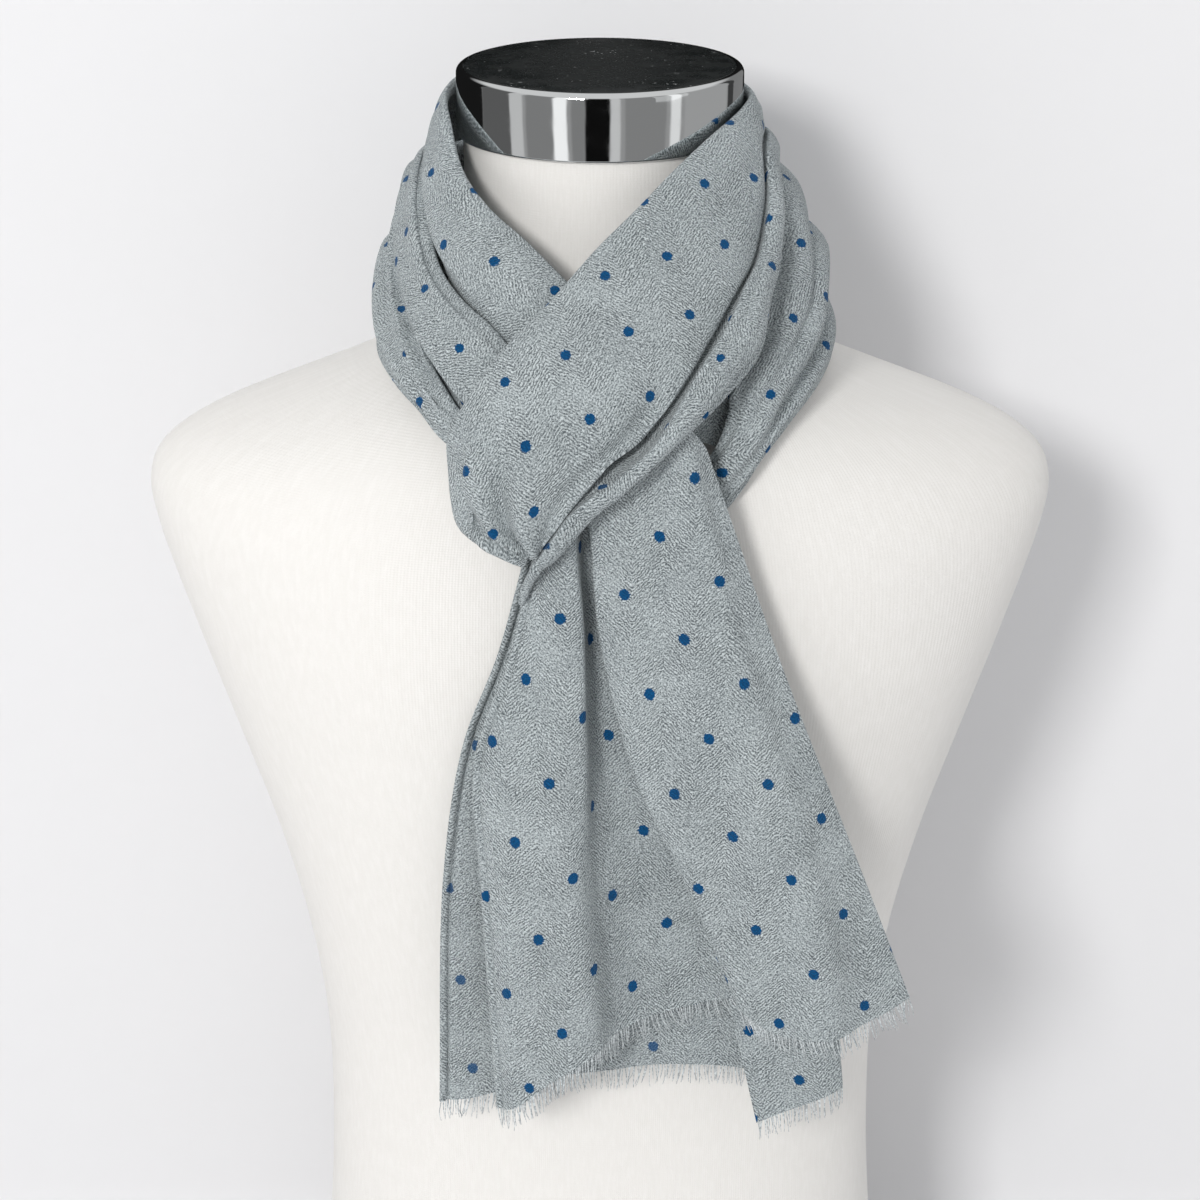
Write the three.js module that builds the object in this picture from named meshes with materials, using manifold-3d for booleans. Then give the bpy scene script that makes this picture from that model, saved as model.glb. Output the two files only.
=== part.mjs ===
// A light wool scarf tied in a folded-loop knot round the neck of a limbless dress form.
// Millimetres, +Z up, the front faces -Y, and the origin is the centre of the form's flat base.
import * as THREE from 'three';
import Module from 'manifold-3d';
import { mergeVertices } from 'three/addons/utils/BufferGeometryUtils.js';

const wasm = await Module();
wasm.setup();

// Driving dimensions of the dress form.
const NECK_RADIUS = 63;
const RING_RADIUS = 66;
const RING_BORE = 57;
const RING_BOTTOM = 709;
const RING_EASE = 1.2;
const RING_SHOULDER = 3;
const SHOULDER_STEPS = 3;
const FORM_TOP = 740;
const CAP_RADIUS = 62.5;
const CAP_BOTTOM = 736;
const CAP_EASE = 0.4;
const SEAT_GAP = 0.3;
const FORM_SIDES = 32;
const TALL_SPAN = 40;
const TURNED_SIDES = 40;

// Driving dimensions of the scarf.
const WALL = 1.3;
const CLEARANCE = 1.6;
const STRAND_STEP = 16;
const BACK_SEAM = 0.3;
const PINCH = 1.8;
const ROLL_STOPS_EARLY = 3;
const FRINGE_LENGTH = 12;
const FRINGE_WIDTH = 1.1;
const FRINGE_GAP = 0.8;
const FRINGE_TAPER = 0.4;
const FRINGE_SWAY = 1.6;
const FRINGE_STRIP = 2.4;
const FRINGE_STEP = 5.5;

/** Rows of a table as objects, from its column names and its values. */
function table(columns, rows) {
  return rows.map((row) => Object.fromEntries(columns.map((name, k) => [name, row[k]])));
}

// Level sections of the form: half its width, its depth to the front and back, and how square it is.
const FORM_SECTIONS = table(['z', 'half', 'front', 'back', 'square'], [
  [0, 152, 110, 102, 2.3],
  [60, 148, 106, 99, 2.3],
  [142, 140, 98, 92, 2.2],
  [202, 137, 95, 88, 2.2],
  [260, 138, 98, 90, 2.2],
  [316, 146, 105, 96, 2.2],
  [371, 160, 111, 102, 2.2],
  [425, 178, 116, 107, 2.2],
  [478, 196, 119, 110, 2.2],
  [524, 211, 118, 110, 2.1],
  [543, 214.5, 116, 108, 2.0],
  [556, 211, 114, 105, 1.9],
  [567, 200, 112, 102, 1.85],
  [578, 180, 109, 98, 1.8],
  [590, 149, 104, 92, 1.8],
  [601, 119, 97, 86, 1.85],
  [613, 94, 88, 80, 1.95],
  [628, 77, 77, 73, 2.0],
  [650, 67, 67, 66.5, 2.0],
  [680, NECK_RADIUS, NECK_RADIUS, NECK_RADIUS, 2.0],
  [RING_BOTTOM - SEAT_GAP, NECK_RADIUS, NECK_RADIUS, NECK_RADIUS, 2.0],
]);

// Strands round the neck. Each row is one section across the bundle: the lines where its cloth
// folds from one strand to the next, whether the lower strands lie over the upper ones (1), under
// them (0) or beside them (0.5), how far each strand bulges, and the radius of its rolled folds.
// The left strands run from the knot to the centre back.
const LEFT_COLUMNS = ['edge', 'fold', 'ridge', 'bottom', 'order', 'bulges', 'roll', 'edgeRoll'];
const LEFT_STRANDS = table(LEFT_COLUMNS, [
  [[8, -106, 643], [-10, -121, 618], [-31, -130, 599], [-42, -127, 585], 1, [2, 3, 2], 1.7, 2],
  [[-3, -103, 655], [-24, -121, 628], [-47, -130, 605], [-56, -124, 590], 1, [2, 3, 2], 1.7, 2],
  [[-14, -98.5, 666], [-37, -117, 637], [-61, -128, 612], [-69, -118, 597], 1, [2, 4, 3], 1.7, 2],
  [[-31, -88, 683], [-50, -108, 648], [-71, -116, 620], [-79, -99, 604], 1, [3, 4, 5], 2, 2],
  [[-45, -75, 694], [-62, -93, 656], [-81, -96, 632], [-90, -77, 607], 1, [3, 4, 6], 2.3, 2],
  [[-57, -58, 704], [-74, -68, 667], [-89, -66, 647], [-99, -49, 611], 1, [3, 4, 7], 2.3, 2],
  [[-67.5, -29, 720], [-80, -37, 686], [-93, -33, 668], [-102, -23, 612], 1, [2, 3, 6], 1.8, 1.7],
  [[-72.5, 4, 728], [-79.5, 3, 700], [-91, 3, 687], [-101.5, 4, 611], 0.9, [1, 2, 6], 1.5, 1.6],
  [[-62, 39, 729], [-71, 45, 696], [-82, 52, 675], [-92, 54, 609], 0.7, [2, 3, 9], 1.9, 1.8],
  [[-35, 65, 729], [-41.5, 76, 692], [-50, 87, 662], [-57, 88, 607], 0.5, [2, 4, 9], 2.2, 2],
  [
    [-BACK_SEAM, 74.5, 729], [-BACK_SEAM, 87, 690], [-BACK_SEAM, 100, 657], [-BACK_SEAM, 103, 604],
    0.5, [2, 4, 9], 2.2, 2,
  ],
]);
// The right strands run from the centre back to the knot: the band that crosses the front and the
// roll under it.
const RIGHT_STRANDS = table(['edge', 'fold', 'ridge', 'order', 'bulges', 'roll', 'edgeRoll'], [
  [[BACK_SEAM, 74.5, 729], [BACK_SEAM, 87, 690], [BACK_SEAM, 100, 657], 0.5, [2, 4], 2.2, 2],
  [[35, 65, 729], [41.5, 76, 692], [50, 87, 662], 0.5, [2, 4], 2.2, 2],
  [[60, 37.5, 728], [69, 43, 702], [79, 51, 683], 0.2, [1.5, 3], 1.9, 1.5],
  [[70.2, 4, 727], [75.5, 5, 710], [83, 6, 698], 0, [0.5, 1.5], 1.4, 1.2],
  [[65.7, -26, 726], [74, -31, 708], [82, -32, 694], 0, [1, 2], 1.5, 1.4],
  [[50, -52, 718], [74, -56, 691], [83, -55, 681], 0, [3, 3], 2, 2],
  [[28, -78, 704], [69, -79, 672], [80.5, -75, 667], 0, [4, 4], 2.2, 2.2],
  [[6, -96, 686], [61, -98, 663], [76, -93, 655], 0, [4, 6], 2.2, 2.2],
  [[-14, -110, 668], [51, -116, 650], [71, -113, 638], 0, [5, 8], 2.2, 2.2],
  [[-31, -122, 652], [40, -132, 636], [56, -132, 624], 0, [6, 8], 2.2, 2.4],
  [[-45, -131, 639], [29, -144, 621], [40, -144, 611], 0, [6, 7], 2.2, 2.4],
  [[-56, -139, 625], [17, -152, 608], [24, -152, 598], 0, [7, 6], 2.2, 2.6],
  [[-65, -143, 611], [4, -158, 599], [8, -156, 584], 0, [7, 4], 2.2, 4],
  [[-67.5, -143, 594], [-5, -160, 589], [-2, -156, 576], 0, [8, 3], 2, 8],
  [[-62, -145, 573], [-14, -161, 578], [-10, -156, 567], 0, [7, 2], 1.5, 8],
  [[-47, -149, 560], [-20, -161, 569], [-16, -156, 561], 0, [4, 1], 1.5, 5],
  [[-33, -153, 552], [-25, -161, 561], [-21, -156, 556], 0, [1, 1], 1.2, 2],
]);
// The outer right strand comes down to the chest, then runs left behind the hanging ends.
const LOOP_STRAND = table(['ridge', 'bottom', 'over', 'bulge', 'roll'], [
  [[BACK_SEAM, 100, 657], [BACK_SEAM, 103, 604], 0.5, 9, 2.2],
  [[50, 87, 662], [57, 88, 607], 0.5, 9, 2.2],
  [[79, 51, 683], [93, 54, 609], 0.2, 9, 1.9],
  [[83, 6, 698], [106, 4, 611], 0, 9, 1.6],
  [[82, -32, 694], [108, -28, 611], 0, 9, 1.7],
  [[80, -60, 664], [103, -52, 608], 0.3, 10, 2],
  [[75, -80, 646], [96, -70, 603], 0.7, 9, 2.2],
  [[61, -104, 621], [86, -86, 596], 1, 8, 2.4],
  [[58, -110, 605], [73, -104, 584], 1, 6, 2.3],
  [[50, -113, 590], [63, -112, 572], 1, 5, 2],
  [[40, -114, 582], [50, -116, 561], 1, 3, 1.8],
  [[12, -115, 588], [14, -116, 560], 1, 1, 1.6],
  [[-20, -115, 594], [-20, -117, 563], 1, 1, 1.6],
  [[-46, -115, 598], [-46, -117, 568], 1, 1, 1.6],
]);
// Cloth inside the loop, seen between the roll and the outer strand.
const LOOP_INNER = table(['ridge', 'bottom', 'over', 'bulge', 'roll'], [
  [[50, -102, 640], [68.6, -80.6, 636], 0.5, 1, 1.6],
  [[42, -106, 624], [60.8, -93.4, 617.5], 0.5, 1, 1.6],
  [[36, -109, 610], [54, -98, 603], 0.5, 1, 1.6],
  [[34, -110, 598], [47, -104, 592], 0.5, 1, 1.6],
]);

// Lengthwise folds pressed into the outer strands: place across, half width, rise, and the shares
// of the strand's length between which the fold runs.
const FOLD_COLUMNS = ['at', 'width', 'rise', 'start', 'end'];
const OUTER_FOLDS = table(FOLD_COLUMNS, [
  [0.36, 0.07, -5, -0.1, 0.8],
  [0.7, 0.08, -4, 0.05, 1.1],
]);
const LOOP_FOLDS = table(FOLD_COLUMNS, [
  [0.66, 0.08, -5, -0.1, 0.72],
  [0.3, 0.08, -3.5, -0.1, 0.3],
]);

// Fold lines of the hanging ends, from the left edge to the right: x and z at the knot, x at
// three levels below it, x and z at the hem, and how far the line stands out.
const UPPER_Z = 500;
const MIDDLE_Z = 455;
const LOWER_Z = 390;
const TAIL_COLUMNS = ['top', 'topZ', 'upper', 'middle', 'lower', 'hem', 'hemZ', 'out'];
const FRONT_TAIL = table(TAIL_COLUMNS, [
  [-25, 568, -41, -56, -54, -48, 278, -3],
  [-22, 570, -36, -48, -46, -41, 280, 1.5],
  [-17, 572, -20, -26, -22, -16, 298, 4],
  [-12, 574, -8, -8, -2, 4, 314, 1],
  [-8, 577, -3, 2, 24, 38, 323, -9],
  [0, 579, 13, 24, 52, 76, 332, -11.1],
  [2, 580, 15, 27, 55, 79, 333, -7.3],
  [-1, 580, 9, 20, 48, 71, 333, -4],
  [-4, 580, 4, 14, 41, 64, 333, -1],
  [-1, 582, 8, 18, 46, 67, 331, 2.5],
  [14, 594, 28, 41, 62, 78, 322, 4],
  [34, 610, 58, 71, 88, 102, 320, 6],
  [41, 606, 70, 86, 107, 122, 324, 1],
  [46, 598, 80, 97, 122, 143, 334, -4],
]);
const REAR_TAIL = table(TAIL_COLUMNS, [
  [-26, 566, -42, -59, -71, -76, 270, 0],
  [-20, 568, -32, -47, -56, -60, 273, 2],
  [-10, 572, -16, -24, -28, -30, 280, -1],
  [4, 578, 4, 3, 2, 4, 285, 1],
  [16, 584, 24, 31, 36, 40, 289, -1],
  [28, 590, 46, 58, 70, 78, 286, 0.5],
  [38, 590, 64, 80, 98, 107, 282, 0.5],
  [41, 590, 68, 85, 104, 114, 280, 3],
  [37, 590, 62, 80, 97, 108, 277, 6],
  [32, 588, 46, 56, 58, 90, 270, 7],
  [28, 586, 30, 30, 22, 72, 262, 6],
]);
// Where the hanging ends lie in depth at each level, and how open their folds are there.
const DEPTH_COLUMNS = ['y', 'open'];
const FRONT_TAIL_DEPTH = table(DEPTH_COLUMNS, [
  [-134, 0.6],
  [-139, 0.9],
  [-142, 1],
  [-143, 1.1],
  [-144, 1.2],
]);
const REAR_TAIL_DEPTH = table(DEPTH_COLUMNS, [
  [-119.6, 0.55],
  [-122.5, 0.7],
  [-123, 0.8],
  [-122, 1],
  [-120, 1.2],
]);

// ---- curves and sheets ---------------------------------------------------------------------

/** Value at share s of a cubic from p0 to p1 with end slopes m0 and m1. */
function cubic(p0, p1, m0, m1, s) {
  const s2 = s * s;
  const s3 = s2 * s;
  return p0.clone().multiplyScalar(2 * s3 - 3 * s2 + 1)
    .addScaledVector(m0, s3 - 2 * s2 + s)
    .addScaledVector(p1, 3 * s2 - 2 * s3)
    .addScaledVector(m1, s3 - s2);
}

/** A smooth curve through the points; counts[i] is the number of steps in span i. */
function smoothThrough(points, counts) {
  const last = points.length - 1;
  const knots = [0];
  for (let i = 1; i <= last; i++) {
    knots.push(knots[i - 1] + Math.max(1e-3, Math.sqrt(points[i].distanceTo(points[i - 1]))));
  }
  const spanSlope = (i) => points[i + 1].clone().sub(points[i]).divideScalar(knots[i + 1] - knots[i]);
  const slope = points.map((_, i) => {
    if (i === 0) return spanSlope(0);
    if (i === last) return spanSlope(last - 1);
    const share = (knots[i] - knots[i - 1]) / (knots[i + 1] - knots[i - 1]);
    return spanSlope(i - 1).multiplyScalar(1 - share).addScaledVector(spanSlope(i), share);
  });
  const curve = [points[0].clone()];
  for (let i = 0; i < last; i++) {
    const span = knots[i + 1] - knots[i];
    const m0 = slope[i].clone().multiplyScalar(span);
    const m1 = slope[i + 1].clone().multiplyScalar(span);
    for (let k = 1; k <= counts[i]; k++) {
      curve.push(cubic(points[i], points[i + 1], m0, m1, k / counts[i]));
    }
  }
  return curve;
}

/** Samples a net of points both ways: rows run along the cloth, columns across it. */
function sampleNet(net, along, across) {
  const rows = net.map((row) => smoothThrough(row, across));
  const columns = rows[0].map((_, j) => smoothThrough(rows.map((row) => row[j]), along));
  return columns[0].map((_, i) => columns.map((column) => column[i]));
}

/** Unit normals of a sampled grid, on the side where along x across points. */
function gridNormals(grid) {
  const lastRow = grid.length - 1;
  const lastColumn = grid[0].length - 1;
  return grid.map((row, i) => row.map((_, j) => {
    const along = grid[Math.min(lastRow, i + 1)][j].clone().sub(grid[Math.max(0, i - 1)][j]);
    const across = grid[i][Math.min(lastColumn, j + 1)].clone().sub(grid[i][Math.max(0, j - 1)]);
    return along.cross(across).normalize();
  }));
}

/** A geometry from its corner positions and its triangles. */
function meshOf(positions, faces) {
  const geometry = new THREE.BufferGeometry();
  geometry.setAttribute('position', new THREE.Float32BufferAttribute(positions, 3));
  geometry.setIndex(faces);
  return geometry;
}

/** A closed wall of the given thickness on both sides of a grid. */
function wallGeometry(grid, thickness) {
  const normals = gridNormals(grid);
  const rows = grid.length;
  const columns = grid[0].length;
  const positions = [];
  for (const side of [0.5, -0.5]) {
    grid.forEach((row, i) => row.forEach((p, j) => {
      positions.push(...p.clone().addScaledVector(normals[i][j], side * thickness).toArray());
    }));
  }
  const faces = [];
  const index = (side, i, j) => side * rows * columns + i * columns + j;
  for (let i = 0; i < rows - 1; i++) {
    for (let j = 0; j < columns - 1; j++) {
      const forward = grid[i][j].distanceTo(grid[i + 1][j + 1]);
      const backward = grid[i + 1][j].distanceTo(grid[i][j + 1]);
      for (const side of [0, 1]) {
        const corners = [
          index(side, i, j),
          index(side, i + 1, j),
          index(side, i + 1, j + 1),
          index(side, i, j + 1),
        ];
        if (side) corners.reverse();
        const shift = (forward < backward) === (side === 0) ? 0 : 1;
        const [p, q, r, s] = [0, 1, 2, 3].map((k) => corners[(k + shift) % 4]);
        faces.push(p, q, r, p, r, s);
      }
    }
  }
  const rim = [];
  for (let i = 0; i < rows - 1; i++) rim.push([i, 0]);
  for (let j = 0; j < columns - 1; j++) rim.push([rows - 1, j]);
  for (let i = rows - 1; i > 0; i--) rim.push([i, columns - 1]);
  for (let j = columns - 1; j > 0; j--) rim.push([0, j]);
  rim.forEach(([i, j], k) => {
    const [ni, nj] = rim[(k + 1) % rim.length];
    faces.push(index(0, i, j), index(1, ni, nj), index(0, ni, nj));
    faces.push(index(0, i, j), index(1, i, j), index(1, ni, nj));
  });
  return meshOf(positions, faces);
}

// ---- the dress form ------------------------------------------------------------------------

/** The form's level section at height z, between the rows of its table. */
function formSection(z) {
  const last = FORM_SECTIONS.length - 1;
  const above = THREE.MathUtils.clamp(FORM_SECTIONS.findIndex((row) => row.z > z), 1, last);
  const upper = z >= FORM_SECTIONS[last].z ? FORM_SECTIONS[last] : FORM_SECTIONS[above];
  const lower = FORM_SECTIONS[FORM_SECTIONS.indexOf(upper) - 1];
  const share = THREE.MathUtils.clamp((z - lower.z) / (upper.z - lower.z), 0, 1);
  const mix = (key) => THREE.MathUtils.lerp(lower[key], upper[key], share);
  return { half: mix('half'), front: mix('front'), back: mix('back'), square: mix('square') };
}

/** How far outside the form a point is, as a share of the form's own section: 0 on its skin. */
function formLevel(p) {
  const { half, front, back, square } = formSection(p.z);
  const depth = p.y < 0 ? front : back;
  const sum = (Math.abs(p.x) / half) ** square + (Math.abs(p.y) / depth) ** square;
  return sum ** (1 / square) - 1;
}

/** Moves a point straight out of the form until it is the given distance clear of it. */
function clearOfForm(point, distance) {
  const p = point.clone();
  const step = 0.5;
  for (let round = 0; round < 6; round++) {
    const level = formLevel(p);
    const slope = new THREE.Vector3(
      formLevel(new THREE.Vector3(p.x + step, p.y, p.z)) - level,
      formLevel(new THREE.Vector3(p.x, p.y + step, p.z)) - level,
      formLevel(new THREE.Vector3(p.x, p.y, p.z + step)) - level,
    ).divideScalar(step);
    const away = level / slope.length();
    if (away >= distance) break;
    p.addScaledVector(slope.normalize(), distance - away);
  }
  return p;
}

/** The form's body: a loft through its level sections, closed flat at the base and the neck. */
function formGeometry() {
  const levels = [];
  FORM_SECTIONS.forEach(({ z }, i) => {
    levels.push(z);
    const next = FORM_SECTIONS[i + 1];
    if (next && next.z - z > TALL_SPAN) levels.push((z + next.z) / 2);
  });
  const positions = [];
  for (const z of levels) {
    const { half, front, back, square } = formSection(z);
    for (let k = 0; k < FORM_SIDES; k++) {
      const angle = (2 * Math.PI * k) / FORM_SIDES;
      const [c, s] = [Math.cos(angle), Math.sin(angle)];
      const x = half * Math.sign(c) * Math.abs(c) ** (2 / square);
      const y = (s < 0 ? front : back) * Math.sign(s) * Math.abs(s) ** (2 / square);
      positions.push(x, y, z);
    }
  }
  const faces = [];
  for (let i = 0; i < levels.length - 1; i++) {
    for (let k = 0; k < FORM_SIDES; k++) {
      const next = (k + 1) % FORM_SIDES;
      const [p, q] = [i * FORM_SIDES + k, i * FORM_SIDES + next];
      faces.push(p, q, q + FORM_SIDES, p, q + FORM_SIDES, p + FORM_SIDES);
    }
  }
  const top = (levels.length - 1) * FORM_SIDES;
  for (let k = 1; k < FORM_SIDES - 1; k++) {
    faces.push(0, k + 1, k);
    faces.push(top, top + k, top + k + 1);
  }
  return meshOf(positions, faces);
}

/** A turned solid about Z from [radius, height] points. */
function turned(profile) {
  const points = profile.map(([radius, height]) => new THREE.Vector2(radius, height));
  const geometry = new THREE.LatheGeometry(points, TURNED_SIDES);
  geometry.deleteAttribute('uv');
  geometry.deleteAttribute('normal');
  return mergeVertices(geometry.rotateX(Math.PI / 2), 1e-4);
}

/** The chrome band round the top of the neck: a rounded shoulder outside, a seat for the cap inside. */
function ringGeometry() {
  const shoulder = [];
  for (let k = 0; k <= SHOULDER_STEPS; k++) {
    const angle = (0.5 * Math.PI * k) / SHOULDER_STEPS;
    shoulder.push([
      RING_RADIUS - RING_SHOULDER * (1 - Math.cos(angle)),
      FORM_TOP - RING_SHOULDER * (1 - Math.sin(angle)),
    ]);
  }
  return turned([
    [RING_BORE, RING_BOTTOM],
    [RING_RADIUS - RING_EASE, RING_BOTTOM],
    [RING_RADIUS, RING_BOTTOM + RING_EASE],
    ...shoulder,
    [CAP_RADIUS + SEAT_GAP, FORM_TOP],
    [CAP_RADIUS + SEAT_GAP, CAP_BOTTOM - SEAT_GAP],
    [RING_BORE, CAP_BOTTOM - SEAT_GAP],
    [RING_BORE, RING_BOTTOM],
  ]);
}

/** The disc that lies in the ring's seat, flush with its top. */
function capGeometry() {
  return turned([
    [0, CAP_BOTTOM],
    [CAP_RADIUS, CAP_BOTTOM],
    [CAP_RADIUS, FORM_TOP - CAP_EASE],
    [CAP_RADIUS - CAP_EASE, FORM_TOP],
    [0, FORM_TOP],
  ]);
}

// ---- the scarf round the neck ---------------------------------------------------------------

/** Sections of an edge in units of its roll radius, from inside the strand to the cloth's end. */
const EDGE_COLUMNS = ['inward', 'rise'];
const ROLLED = table(EDGE_COLUMNS, [
  [1.5, 0],
  [0, -1],
  [1.2, -2],
  [3.5, -2],
]);
const TUCKED = table(EDGE_COLUMNS, [
  [2.4, -1.4],
  [1.1, -3.4],
  [0.1, -4.6],
  [-0.8, -5.2],
]);
const INSIDE_KNOTS = 5;
const FOLD_FADE = 0.08;
// A strand narrower than this many roll radii has its rolls drawn tighter, and folds are pressed to
// their full depth only where a strand is at least this wide.
const NARROWEST = 9;
const FULL_FOLD_WIDTH = 60;

/** How strongly a fold shows at a share of the strand's length. */
function foldFade(fold, share) {
  const { smoothstep } = THREE.MathUtils;
  return smoothstep(share, fold.start - FOLD_FADE, fold.start + FOLD_FADE)
    * (1 - smoothstep(share, fold.end - FOLD_FADE, fold.end + FOLD_FADE));
}

/** Points of one edge, rolled over (1) or tucked under (0), as distances inward and rises. */
function edgeKnots(over, roll, width) {
  const { lerp } = THREE.MathUtils;
  const pinch = PINCH * 4 * over * (1 - over);
  const drawn = Math.min(roll, width / NARROWEST);
  return ROLLED.map((rolled, k) => ({
    inward: pinch + drawn * lerp(TUCKED[k].inward, rolled.inward, over),
    rise: lerp(roll * TUCKED[k].rise, drawn * rolled.rise, over),
  }));
}

/** Points across one strand section, at a share of the strand's length. */
function strandSection(row, outward, folds, share) {
  const a = new THREE.Vector3(...row.a);
  const across = new THREE.Vector3(...row.b).sub(a);
  const width = across.length();
  across.normalize();
  const place = (distance, rise) => (
    a.clone().addScaledVector(across, distance).addScaledVector(outward, rise)
  );
  const near = edgeKnots(row.overA, row.rollA, width).map((knot) => place(knot.inward, knot.rise));
  const far = edgeKnots(row.overB, row.rollB, width)
    .map((knot) => place(width - knot.inward, knot.rise));
  const depth = Math.min(1, width / FULL_FOLD_WIDTH);
  const inside = [];
  for (let k = 1; k <= INSIDE_KNOTS; k++) {
    const at = k / (INSIDE_KNOTS + 1);
    let rise = row.bulge * Math.sin(Math.PI * at);
    for (const fold of folds) {
      const profile = Math.exp(-(((at - fold.at) / fold.width) ** 2));
      rise += depth * fold.rise * foldFade(fold, share) * profile;
    }
    inside.push(place(width * at, rise));
  }
  return [...near.reverse(), ...inside, ...far];
}

/** The grid of one strand: its sections joined along its length and laid clear of the form. */
function strandGrid(rows, folds = []) {
  const middles = rows.map(({ a, b }) => new THREE.Vector3(...a).lerp(new THREE.Vector3(...b), 0.5));
  const net = rows.map((row, i) => {
    const along = middles[Math.min(rows.length - 1, i + 1)].clone().sub(middles[Math.max(0, i - 1)]);
    const outward = along.cross(new THREE.Vector3(...row.b).sub(new THREE.Vector3(...row.a)));
    if (outward.x * middles[i].x + outward.y * middles[i].y < 0) outward.negate();
    if (Math.abs(middles[i].x) === BACK_SEAM) outward.x = 0;
    return strandSection(row, outward.normalize(), folds, i / (rows.length - 1));
  });
  const steps = middles.slice(1).map((p, i) => (
    Math.max(1, Math.round(p.distanceTo(middles[i]) / STRAND_STEP))
  ));
  const grid = sampleNet(net, steps, net[0].slice(1).map(() => 1));
  return grid.map((row) => row.map((p) => clearOfForm(p, CLEARANCE)));
}

/** Sections of the strand between two fold lines of a bundle. */
function between(rows, k) {
  const lines = ['edge', 'fold', 'ridge', 'bottom'];
  return rows.map((row) => ({
    a: row[lines[k]],
    b: row[lines[k + 1]],
    bulge: row.bulges[k],
    overA: k === 0 ? 1 : row.order,
    overB: k === row.bulges.length - 1 ? openEdge(row) : 1 - row.order,
    rollA: k === 0 ? row.edgeRoll : row.roll,
    rollB: row.roll,
  }));
}

/** How far a bundle's last edge is rolled: fully where it is free or lies over the next strand. */
function openEdge(row) {
  return row.bottom ? 1 : 1 - row.order;
}

/** Sections of a strand that stands alone. */
function alone(rows) {
  return rows.map((row) => ({
    a: row.ridge,
    b: row.bottom,
    bulge: row.bulge,
    overA: row.over,
    overB: 1,
    rollA: row.roll,
    rollB: row.roll,
  }));
}

// ---- the hanging ends -----------------------------------------------------------------------

/** The grid of a hanging end from its fold lines. */
function tailGrid(lines, depth) {
  const levels = [
    (line) => [line.top, line.topZ],
    (line) => [line.upper, UPPER_Z],
    (line) => [line.middle, MIDDLE_Z],
    (line) => [line.lower, LOWER_Z],
    (line) => [line.hem, line.hemZ],
  ];
  const net = levels.map((level, i) => lines.map((line) => {
    const [x, z] = level(line);
    return new THREE.Vector3(x, depth[i].y - depth[i].open * line.out, z);
  }));
  const grid = sampleNet(net, [2, 2, 2, 3], lines.slice(1).map(() => 2));
  return grid.map((row) => row.map((p) => clearOfForm(p, CLEARANCE)));
}

// ---- the fringe -----------------------------------------------------------------------------

/** A solid of a closed geometry, for joining. */
function solidOf(geometry) {
  const merged = mergeVertices(geometry, 1e-4);
  return new wasm.Manifold(new wasm.Mesh({
    numProp: 3,
    vertProperties: merged.getAttribute('position').array,
    triVerts: Uint32Array.from(merged.index.array),
  }));
}

/** The geometry of a joined solid. */
function geometryOf(solid) {
  const { vertProperties, triVerts } = solid.getMesh();
  return meshOf(vertProperties, [...triVerts]);
}

/** One tapering three-sided strand from a root to a tip, with one of its sides along the hem. */
function strandGeometry(root, tip, side) {
  const front = tip.clone().sub(root).cross(side).normalize();
  const positions = [];
  for (const [centre, scale] of [[root, 1], [tip, FRINGE_TAPER]]) {
    for (let k = 0; k < 3; k++) {
      const angle = (2 * Math.PI * k) / 3;
      const radius = (scale * FRINGE_WIDTH) / Math.sqrt(3);
      const corner = centre.clone()
        .addScaledVector(side, radius * Math.cos(angle))
        .addScaledVector(front, radius * Math.sin(angle));
      positions.push(...corner.toArray());
    }
  }
  return meshOf(positions, [0, 2, 1, 3, 4, 5, 0, 1, 4, 0, 4, 3, 1, 2, 5, 1, 5, 4, 2, 0, 3, 2, 3, 5]);
}

/** A hem's fringe: a narrow strip just below the hem, with strands fused to it. */
function fringeGeometry(grid) {
  const hem = grid[grid.length - 1];
  const down = hem.map((p, j) => p.clone().sub(grid[grid.length - 2][j]).normalize());
  const lowered = (depth) => hem.map((p, j) => p.clone().addScaledVector(down[j], depth));
  const bottom = lowered(FRINGE_GAP + FRINGE_STRIP);
  let fringe = solidOf(wallGeometry([lowered(FRINGE_GAP), bottom], WALL));
  const reach = [0];
  for (let j = 1; j < bottom.length; j++) {
    reach.push(reach[j - 1] + bottom[j].distanceTo(bottom[j - 1]));
  }
  const length = reach[reach.length - 1];
  const count = Math.floor(length / FRINGE_STEP);
  for (let k = 0; k < count; k++) {
    const place = ((k + 0.5) * length) / count;
    const j = reach.findIndex((r) => r > place) - 1;
    const share = (place - reach[j]) / (reach[j + 1] - reach[j]);
    const root = bottom[j].clone().lerp(bottom[j + 1], share);
    root.addScaledVector(down[j], -FRINGE_WIDTH / 2);
    const side = bottom[j + 1].clone().sub(bottom[j]).normalize();
    const tip = root.clone()
      .addScaledVector(down[j], FRINGE_LENGTH * (0.9 + 0.1 * Math.sin(2.4 * k)))
      .addScaledVector(side, FRINGE_SWAY * Math.sin(1.9 * k));
    fringe = fringe.add(solidOf(strandGeometry(root, tip, side)));
  }
  return geometryOf(fringe);
}

// ---- the object -----------------------------------------------------------------------------

const FINISHES = {
  cream: { color: 0xf0ede8, roughness: 0.85, metalness: 0 },
  chrome: { color: 0xdfe1e3, roughness: 0.08, metalness: 1 },
  black: { color: 0x16191a, roughness: 0.25, metalness: 0 },
  wool: { color: 0xa9b1b4, roughness: 0.95, metalness: 0 },
};
const scarf = new THREE.Group();

/** Adds one named piece to the object. */
function add(name, geometry, finish) {
  const mesh = new THREE.Mesh(geometry, new THREE.MeshStandardMaterial(FINISHES[finish]));
  mesh.name = name;
  scarf.add(mesh);
}

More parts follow.
